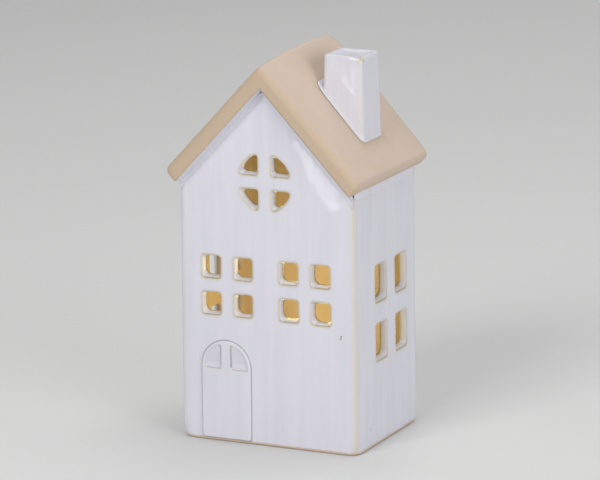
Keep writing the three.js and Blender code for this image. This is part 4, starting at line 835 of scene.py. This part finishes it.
class Signal:
    """A socket of a finish's nodes; arithmetic on it adds the Math nodes for it."""

    def __init__(self, finish, socket):
        self.finish, self.socket = finish, socket

    def maths(self, operation, *others):
        return self.finish.node("Math", {"operation": operation}, dict(enumerate((self, *others))))

    __add__ = __radd__ = partialmethod(maths, "ADD")
    __mul__ = __rmul__ = partialmethod(maths, "MULTIPLY")
    __sub__ = partialmethod(maths, "SUBTRACT")
    __abs__ = partialmethod(maths, "ABSOLUTE")
    at_least = partialmethod(maths, "MAXIMUM")

    def __rsub__(self, other):
        return self * -1 + other

    def within(self):
        """Kept between 0 and 1."""
        return self.at_least(0).maths("MINIMUM", 1)

    def rise(self, low, high):
        """Goes smoothly from 0 at low to 1 at high."""
        return self.finish.node("MapRange", {"interpolation_type": "SMOOTHSTEP"}, {0: self, 1: low, 2: high})


class Finish:
    """A material whose varying values are built up as signals."""

    def __init__(self, name, **uniform):
        self.material = bpy.data.materials.new(name)
        self.material.use_nodes = True
        self.tree = self.material.node_tree
        self.shader = next(node for node in self.tree.nodes if node.type == "BSDF_PRINCIPLED")
        self.finish(**uniform)
        self.place = self.node("TexCoord", output=3)

    def finish(self, **values):
        """Feeds the shader's sockets, with underscores for the spaces in their names."""
        for socket, value in values.items():
            self.feed(self.shader.inputs[socket.replace("_", " ")], value)
        return self.material

    def node(self, kind, settings=None, inputs=None, output=0):
        """Adds a node of a kind, with its settings first and then its sockets' values or links."""
        made = self.tree.nodes.new("ShaderNode" + kind)
        for name, value in (settings or {}).items():
            setattr(made, name, value)
        for name, value in (inputs or {}).items():
            self.feed(made.inputs[name], value)
        return Signal(self, made.outputs[output])

    def feed(self, socket, value):
        """Links a signal to a socket or sets the socket's value."""
        if isinstance(value, Signal):
            self.tree.links.new(value.socket, socket)
        elif isinstance(value, tuple) and socket.type == "RGBA":
            socket.default_value = (*value, 1)
        else:
            socket.default_value = value

    def stretched(self, scale):
        """The object's place scaled by features per metre, one number for all directions or three."""
        each = scale if isinstance(scale, tuple) else (scale,) * 3
        return self.node("VectorMath", {"operation": "MULTIPLY"}, {0: self.place, 1: each})

    def noise(self, scale, detail, roughness, distortion=0.0):
        """Noise from 0 to 1 with a number of features per metre."""
        return self.node("TexNoise", {}, {"Vector": self.stretched(scale), "Scale": 1.0, "Detail": detail,
                                          "Roughness": roughness, "Distortion": distortion})

    def axis(self, index):
        """One coordinate of the object's place."""
        return self.node("SeparateXYZ", {}, {0: self.place}, output=index)

    def wear_and_shade_kept(self):
        """The wear and painted shade kept on the mesh."""
        return self.node("Attribute", {"attribute_name": "edge"}, output=2)

    def mix(self, amount, first, second):
        """One colour over another."""
        return self.node("Mix", {"data_type": "RGBA"}, {0: amount, 6: first, 7: second}, output=2)

    def near(self, spot, inner, outer):
        """1 within the inner distance of a spot and 0 beyond the outer one, all in metres."""
        away = self.node("VectorMath", {"operation": "DISTANCE"}, {0: self.place, 1: spot}, output=1)
        return 1 - away.rise(inner, outer)

    def bump(self, height, distance):
        """A normal raised by a height of 0 to 1 times a distance in metres."""
        return self.node("Bump", {}, {"Height": height, "Distance": distance})


GLAZE_WHITE = (0.70, 0.69, 0.755)
GLAZE_POOLED = (0.655, 0.65, 0.72)
GLAZE_BREAK = (0.60, 0.555, 0.475)
GLAZE_OLIVE = (0.36, 0.285, 0.155)
# Grey painted into grooves and corners as their shade
PAINTED_GROOVE_SHADE = (0.34, 0.325, 0.31)
CLAY_SAND = (0.61, 0.495, 0.40)
CLAY_PINK = (0.635, 0.515, 0.43)
CLAY_OCHRE = (0.50, 0.375, 0.24)
IRON_SPOT = (0.12, 0.075, 0.045)

# Iron spots on the walls: place in mm, radius in mm and strength
SPOTS = (
    (37.2, -34.3, 56.1, 0.7, 1.0), (37.0, -34.3, 55.0, 0.6, 1.0),
    (44.9, -20.0, 9.5, 0.6, 1.0), (44.2, 27.5, 96.0, 0.7, 0.5),
)
SPOT_CORE = 0.2 * MM


def bare_body(f):
    """Colour, roughness and height of the fired clay: slow warm clouds, fine grain and few dark grains."""
    clouds = f.noise(38, 3, 0.6)
    grain = f.noise(1500, 2, 0.6)
    fine = f.noise(4200, 2, 0.7)
    drag = f.noise((240, 60, 240), 3, 0.6, 0.4)
    specks = f.noise(780, 0, 0.5)
    colour = f.mix(clouds.rise(0.32, 0.66), CLAY_SAND, CLAY_PINK)
    colour = f.mix((1 - (grain * 0.5 + fine * 0.5).rise(0.36, 0.62)) * 0.14, colour, CLAY_OCHRE)
    colour = f.mix(specks.rise(0.78, 0.86) * 0.12, colour, IRON_SPOT)
    return colour, 0.74 + grain * 0.16, grain * 0.4 + fine * 0.35 + drag * 0.5


def stoneware(name, foot=False):
    """White glaze with slow streaks that ran down it, broken to the clay on edges and rims, with grey shade
    painted into grooves and corners where the wear is negative. Where asked, the foot is wiped bare and the
    walls' iron spots are added."""
    f = Finish(name, IOR=1.52)
    clay, clay_roughness, clay_height = bare_body(f)
    streaks = f.noise((210, 210, 16), 4, 0.62, 0.3)
    runs = f.noise((620, 620, 34), 3, 0.6)
    pools = f.noise((46, 46, 30), 2, 0.5)
    pits = f.noise(1900, 1, 0.5)
    edge = f.wear_and_shade_kept()
    broken = edge * (0.85 + 0.3 * runs) + (pools - 0.5) * 0.25 * edge
    colour = f.mix((streaks * 0.65 + pools * 0.35).rise(0.36, 0.68), GLAZE_WHITE, GLAZE_POOLED)
    colour = f.mix(broken.rise(0.2, 0.9) * 0.85, colour, GLAZE_BREAK)
    colour = f.mix(broken.rise(0.85, 1.3) * 0.85, colour, GLAZE_OLIVE)
    # Painted shade: grey in grooves and corners, where the wear is negative
    colour = f.mix((edge * -1).rise(0.15, 1.0) * 0.8, colour, PAINTED_GROOVE_SHADE)
    colour = f.mix(pits.rise(0.8, 0.86) * 0.3, colour, IRON_SPOT)
    inside = edge.rise(1.5, 1.9)
    colour = f.mix(inside, colour, clay)
    roughness = 0.02 + streaks * 0.02 + broken.within() * 0.1
    roughness = roughness + inside * (clay_roughness - roughness)
    height = streaks * 0.05 + runs * 0.012 + pools * 0.3 - broken.within() * 0.1 + inside * clay_height
    if foot:
        bare = 1 - (f.axis(2) - runs * 1.1 * MM - pools * 0.9 * MM).rise(0.35 * MM, 0.85 * MM)
        spots = 0
        for x, y, z, radius, strength in SPOTS:
            spot = f.near((x * MM, y * MM, z * MM), SPOT_CORE, radius * MM)
            spots = (spot * strength).at_least(spots)
        colour = f.mix(spots * 0.75, colour, IRON_SPOT)
        colour = f.mix(bare, colour, clay)
        roughness = roughness + bare * (clay_roughness - roughness)
        height = height * (1 - bare) + bare * clay_height * 0.3
    return f.finish(Base_Color=colour, Roughness=roughness, Normal=f.bump(height, 0.1 * MM))


def roof_clay():
    """Bare clay, toasted to ochre round the chimney's foot, with darker ochre painted on the gables' faces as
    their shade; the underside is glazed white as the walls are."""
    f = Finish("bare roof clay", IOR=1.45)
    clay, clay_roughness, clay_height = bare_body(f)
    streaks = f.noise((210, 60, 210), 3, 0.6)
    x, y, z = (f.axis(index) for index in range(3))
    above = z + abs(x) * SLOPE - UNDERSIDE_APEX
    glazed = 1 - (above + (streaks - 0.5) * 0.5 * MM).rise(0.5 * MM, 1.0 * MM)
    # Painted shade: the gables' faces are darker ochre
    gable = abs(y).rise(ROOF_HALF_LENGTH - 4 * MM, ROOF_HALF_LENGTH - 0.4 * MM)
    beside_x = abs(x - CHIMNEY_CENTRE[0]) - CHIMNEY_HALF[0]
    beside_y = abs(y - CHIMNEY_CENTRE[1]) - CHIMNEY_HALF[1]
    at_chimney = 1 - beside_x.at_least(beside_y).rise(0.5 * MM, 6 * MM)
    toasted = at_chimney * 0.45 + f.wear_and_shade_kept().rise(0.4, 1.0) * 0.04
    colour = f.mix((gable * 0.6 + toasted * (0.6 + 0.6 * streaks) * (1 - gable)).within(), clay, CLAY_OCHRE)
    colour = f.mix(glazed, colour, f.mix(streaks.rise(0.3, 0.7), GLAZE_WHITE, GLAZE_POOLED))
    roughness = clay_roughness + glazed * (0.12 - clay_roughness)
    height = clay_height * (1 - glazed) + glazed * streaks * 0.4
    return f.finish(Base_Color=colour, Roughness=roughness, Normal=f.bump(height, 0.16 * MM))


def moulded(name, colour, roughness, grain=900, depth=0.02, tint=0.06):
    """Moulded plastic: fine spark texture, slow shading of the colour and a little uneven gloss."""
    f = Finish(name, IOR=1.49)
    texture = f.noise(grain * 3, 2, 0.6)
    flow = f.noise((60, 60, 90), 2, 0.5)
    darker = tuple(value * (1 - 3 * tint) for value in colour)
    return f.finish(Base_Color=f.mix((flow * 0.6 + texture * 0.4).rise(0.35, 0.7), colour, darker),
                    Roughness=roughness + (texture - 0.5) * 0.12 + (flow - 0.5) * 0.1,
                    Normal=f.bump(texture, depth * MM))


def plated(name, colour, roughness, along=(1, 1, 1)):
    """Plated metal: rolling or drawing marks stretched along the strip or wire, with dull patches."""
    f = Finish(name, Metallic=1.0)
    marks = f.noise(tuple(2600 / stretch for stretch in along), 3, 0.65)
    patches = f.noise(210, 3, 0.6)
    dull = tuple(value * 0.72 for value in colour)
    return f.finish(Base_Color=f.mix(patches.rise(0.42, 0.72), colour, dull),
                    Roughness=roughness + marks * 0.16 + patches * 0.12, Normal=f.bump(marks, 0.006 * MM))


def circuit_board():
    """Green solder mask over faint copper tracks, with the weave of the laminate under it."""
    f = Finish("solder mask", IOR=1.5)
    weave = (f.axis(0) * 4200).maths("SINE") * (f.axis(1) * 4200).maths("SINE")
    tracks = f.node("TexVoronoi", {"feature": "DISTANCE_TO_EDGE"},
                    {"Vector": f.stretched((240, 240, 1)), "Scale": 1.0})
    copper = 1 - tracks.rise(0.03, 0.09)
    mask = f.mix(weave * 0.25 + 0.3, (0.012, 0.11, 0.035), (0.02, 0.16, 0.055))
    return f.finish(Base_Color=f.mix(copper * 0.55, mask, (0.05, 0.26, 0.09)), Roughness=0.3 + copper * 0.08,
                    Normal=f.bump(copper * 0.7 + weave * 0.1, 0.03 * MM))


# Along a cell from its middle: where the band at its positive end starts and where its bare ends start
CELL_BAND, CELL_BARE = 9.4 * MM, 24.0 * MM


def cell_sleeve():
    """Dark shrunk sleeve with a copper-toned band at the positive end, leaving both ends bare metal. The two
    cells point in opposite directions."""
    f = Finish("cell sleeve", IOR=1.5)
    x = f.axis(0)
    front = 1 - f.axis(1).rise(BAY_CENTRE_Y - 0.1 * MM, BAY_CENTRE_Y)
    band = (x * (2 * front - 1)).rise(CELL_BAND, CELL_BAND + 0.2 * MM)
    bare = abs(x).rise(CELL_BARE, CELL_BARE + 0.1 * MM)
    shrink = f.noise((90, 900, 900), 2, 0.5)
    colour = f.mix(band, (0.028, 0.035, 0.045), (0.42, 0.2, 0.085))
    colour = f.mix(bare, colour, (0.6, 0.6, 0.6))
    return f.finish(Base_Color=colour, Metallic=(bare + band * 0.6).within(), Roughness=0.3 + shrink * 0.16,
                    Normal=f.bump(shrink, 0.03 * MM))


def lamp_lens():
    """Warm lens of the lamp, brightest over the chip and dimmer at its collar."""
    f = Finish("warm lens", IOR=1.5, Roughness=0.16, Emission_Strength=6.0)
    cloud = f.noise(900, 2, 0.5)
    glow = f.axis(2).rise(20 * MM, 24 * MM) * (0.85 + 0.3 * cloud)
    return f.finish(Base_Color=f.mix(cloud, (0.95, 0.78, 0.5), (0.95, 0.7, 0.38)),
                    Emission_Color=f.mix(glow.within(), (0.18, 0.07, 0.012), (1.0, 0.66, 0.26)))


# The resistor's painted bands: where their middles are along it in mm, and their colours
RESISTOR_BANDS = (
    (-2.1, (0.22, 0.09, 0.03)), (-1.0, (0.02, 0.02, 0.02)), (0.1, (0.55, 0.1, 0.02)),
    (2.0, (0.55, 0.38, 0.08)),
)


def resistor_lacquer():
    """Tan lacquered body with painted value bands round it and tinned wire ends."""
    f = Finish("tan lacquer", IOR=1.5)
    y = f.axis(1) - BAY_CENTRE_Y
    wobble = (f.noise(1500, 1, 0.5) - 0.5) * 0.12 * MM
    colour = (0.62, 0.43, 0.22)
    for middle, paint in RESISTOR_BANDS:
        colour = f.mix(1 - abs(y + wobble - middle * MM).rise(0.26 * MM, 0.34 * MM), colour, paint)
    wire = abs(y).rise(3.3 * MM, 3.4 * MM)
    return f.finish(Base_Color=f.mix(wire, colour, (0.62, 0.62, 0.63)), Metallic=wire,
                    Roughness=0.28 + wobble * 400)


def insulation(name, colour):
    """Wire insulation with faint drawing marks and dusty patches."""
    return moulded(name, colour, 0.42, 700, 0.012, 0.08)


# Camera, floor and light

def camera_back():
    """The direction from the house to the camera."""
    return Vector((
        math.sin(CAMERA_AZIMUTH) * math.cos(CAMERA_ELEVATION),
        -math.cos(CAMERA_AZIMUTH) * math.cos(CAMERA_ELEVATION),
        math.sin(CAMERA_ELEVATION),
    ))


def camera():
    """The photograph's viewpoint: a long lens in front, to the right and above."""
    back = camera_back()
    right = Vector((math.cos(CAMERA_AZIMUTH), math.sin(CAMERA_AZIMUTH), 0))
    up = back.cross(right)
    cos_roll, sin_roll = math.cos(CAMERA_ROLL), math.sin(CAMERA_ROLL)
    right, up = cos_roll * right - sin_roll * up, sin_roll * right + cos_roll * up
    lens = bpy.data.cameras.new("camera")
    lens.lens = lens.sensor_width * FOCAL_LENGTH / FRAME_SIZE[0]
    lens.shift_x = (FRAME_SIZE[0] / 2 - TARGET_PLACE[0]) / FRAME_SIZE[0]
    lens.shift_y = (TARGET_PLACE[1] - FRAME_SIZE[1] / 2) / FRAME_SIZE[0]
    lens.clip_start, lens.clip_end = 0.05, 20
    viewer = in_scene("camera", lens)
    viewer.matrix_world = (Matrix.Translation(CAMERA_TARGET + back * CAMERA_DISTANCE)
                           @ Matrix((right, up, back)).transposed().to_4x4())
    bpy.context.scene.camera = viewer


# The floor's bend, in metres: where it starts behind the house, its radius and how high the sheet goes
BEND_START, BEND, FLOOR_HEIGHT = 1.2, 0.8, 3.0


def floor():
    """A pale floor that rises behind the house in one smooth sweep: flat, then a quarter circle, then up."""
    turn = np.radians(np.linspace(0, 90, 25))
    y = np.concatenate([[-3.0, -1.0, 0.0, 0.8], BEND_START + BEND * np.sin(turn), [BEND_START + BEND]])
    z = np.concatenate([[0, 0, 0, 0], BEND * (1 - np.cos(turn)), [FLOOR_HEIGHT]])
    sheet = points(np.linspace(-3, 3, 13), y[:, None], z[:, None])
    index = np.arange(sheet[..., 0].size).reshape(sheet.shape[:2])
    mesh = bpy.data.meshes.new("floor")
    mesh.from_pydata(sheet.reshape(-1, 3), [], grid_quads(index).reshape(-1, 4))
    mesh.shade_smooth()
    ground = in_scene("floor", mesh)
    f = Finish("floor", IOR=1.4)
    cloud = f.noise(3, 2, 0.5)
    mesh.materials.append(f.finish(Base_Color=f.mix(cloud, (0.70, 0.70, 0.69), (0.73, 0.73, 0.72)),
                                   Roughness=0.75 + cloud * 0.1))


# Soft studio lights: place and size in metres, power in watts and colour
SOFTBOXES = (
    ("key", (-0.3, -1.8, 1.4), 0.9, 20, (1.0, 0.99, 0.98)),
    ("fill", (1.6, -0.9, 0.55), 1.0, 13.5, (0.98, 0.99, 1.0)),
    ("top", (0.1, 0.4, 1.8), 1.2, 11, (1.0, 1.0, 1.0)),
)
# Small cards whose mirror images are the highlights on the glaze. They stand in one upright plane in front
# of the house: where each starts and ends in it (across and up, in mm), its width in mm and its power
CARD_PLANE = -300 * MM
CARDS = (
    ("card_gable", (-114.5, 84.5), (-93.0, 61.5), 5.0, 0.0012),
    ("card_gable_low", (-104.5, 73.3), (-94.8, 53.3), 6.0, 0.0010),
    ("card_chimney", (-106.0, 127.0), (-93.5, 112.0), 9.0, 0.0010),
    ("card_chimney_side", (-94.2, 137.0), (-93.6, 105.0), 3.6, 0.0009),
)
# The lamp's light, spread over the height of the house: heights in mm and powers in watts
LAMP_GLOWS = ((36, 0.0185), (72, 0.018), (108, 0.009))
GLOW_COLOUR = (1.0, 0.85, 0.32)
GLOW_RADIUS = 12 * MM
SURROUNDINGS = (0.93, 0.94, 0.96)
SURROUNDINGS_STRENGTH = 0.36


def area_light(name, size, power, colour=(1, 1, 1)):
    """A rectangular area light, not yet placed."""
    lamp = bpy.data.lights.new(name, "AREA")
    lamp.shape, lamp.size, lamp.size_y = "RECTANGLE", *size
    lamp.energy, lamp.color = power, colour
    return in_scene(name, lamp)


def card(name, high, low, width, power):
    """A narrow area light in the cards' plane that faces the house."""
    high, low = (Vector((x * MM, CARD_PLANE, z * MM)) for x, z in (high, low))
    light = area_light(name, ((high - low).length, width * MM), power)
    light.visible_camera = False
    along = (high - low).normalized()
    facing = Vector((0, -1, 0))
    light.matrix_world = (Matrix.Translation((high + low) / 2)
                          @ Matrix((along, facing.cross(along), facing)).transposed().to_4x4())


def lighting():
    """Soft studio lights, the cards and the warm light of the lamp in the house."""
    for name, place, size, power, colour in SOFTBOXES:
        light = area_light(name, (size, size), power, colour)
        light.location = place
        light.rotation_mode = "QUATERNION"
        light.rotation_quaternion = (Vector(place) - CAMERA_TARGET).to_track_quat("Z", "Y")
    for values in CARDS:
        card(*values)
    for number, (height, power) in enumerate(LAMP_GLOWS, 1):
        glow = bpy.data.lights.new(f"lamp_glow_{number}", "POINT")
        glow.energy, glow.color, glow.shadow_soft_size = power, GLOW_COLOUR, GLOW_RADIUS
        light = in_scene(f"lamp_glow_{number}", glow)
        light.location = (0, BAY_CENTRE_Y, height * MM)
        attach(light, "light_unit")
    world = bpy.data.worlds.new("studio")
    bpy.context.scene.world = world
    world.use_nodes = True
    background = world.node_tree.nodes["Background"]
    background.inputs["Color"].default_value = (*SURROUNDINGS, 1)
    background.inputs["Strength"].default_value = SURROUNDINGS_STRENGTH


def dress(finish, *names):
    """Gives carried-over solids their finish."""
    for name in names:
        for slot in bpy.data.objects[name].material_slots:
            slot.material = finish


camera()
floor()
lighting()

glazed_foot = stoneware("white glaze with bare foot", foot=True)
glazed = stoneware("white glaze")
walls(glazed_foot)
door(glazed_foot)
coves(glazed)
roof(roof_clay())
chimney(glazed)

dress(moulded("ivory moulding", (0.74, 0.71, 0.64), 0.46),
      "light_unit_housing", "light_unit_lid", "battery_hatch")
dress(moulded("grey grip rubber", (0.43, 0.42, 0.40), 0.72, 500, 0.05), "grip_ring")
dress(plated("zinc plating", (0.62, 0.63, 0.66), 0.24),
      *(f"lid_screw_{number}" for number in range(1, 5)), "battery_hatch_screw")
dress(plated("spring wire", (0.66, 0.66, 0.67), 0.2, (1, 6, 1)), "contact_spring_1", "contact_spring_2")
dress(plated("nickel strip", (0.70, 0.66, 0.58), 0.22, (1, 1, 9)),
      "contact_bridge", "contact_positive", "contact_negative")
dress(moulded("black moulding", (0.022, 0.022, 0.024), 0.4), "switch_body")
dress(moulded("black knob", (0.028, 0.028, 0.03), 0.34), "switch_knob")
dress(circuit_board(), "circuit_board")
dress(lamp_lens(), "lamp")
dress(resistor_lacquer(), "resistor")
dress(cell_sleeve(), "battery_cell_1", "battery_cell_2")
dress(insulation("red insulation", (0.46, 0.018, 0.016)), "wire_red", "wire_switched")
dress(insulation("black insulation", (0.014, 0.014, 0.016)), "wire_black")

bpy.context.scene.view_settings.view_transform = "Standard"
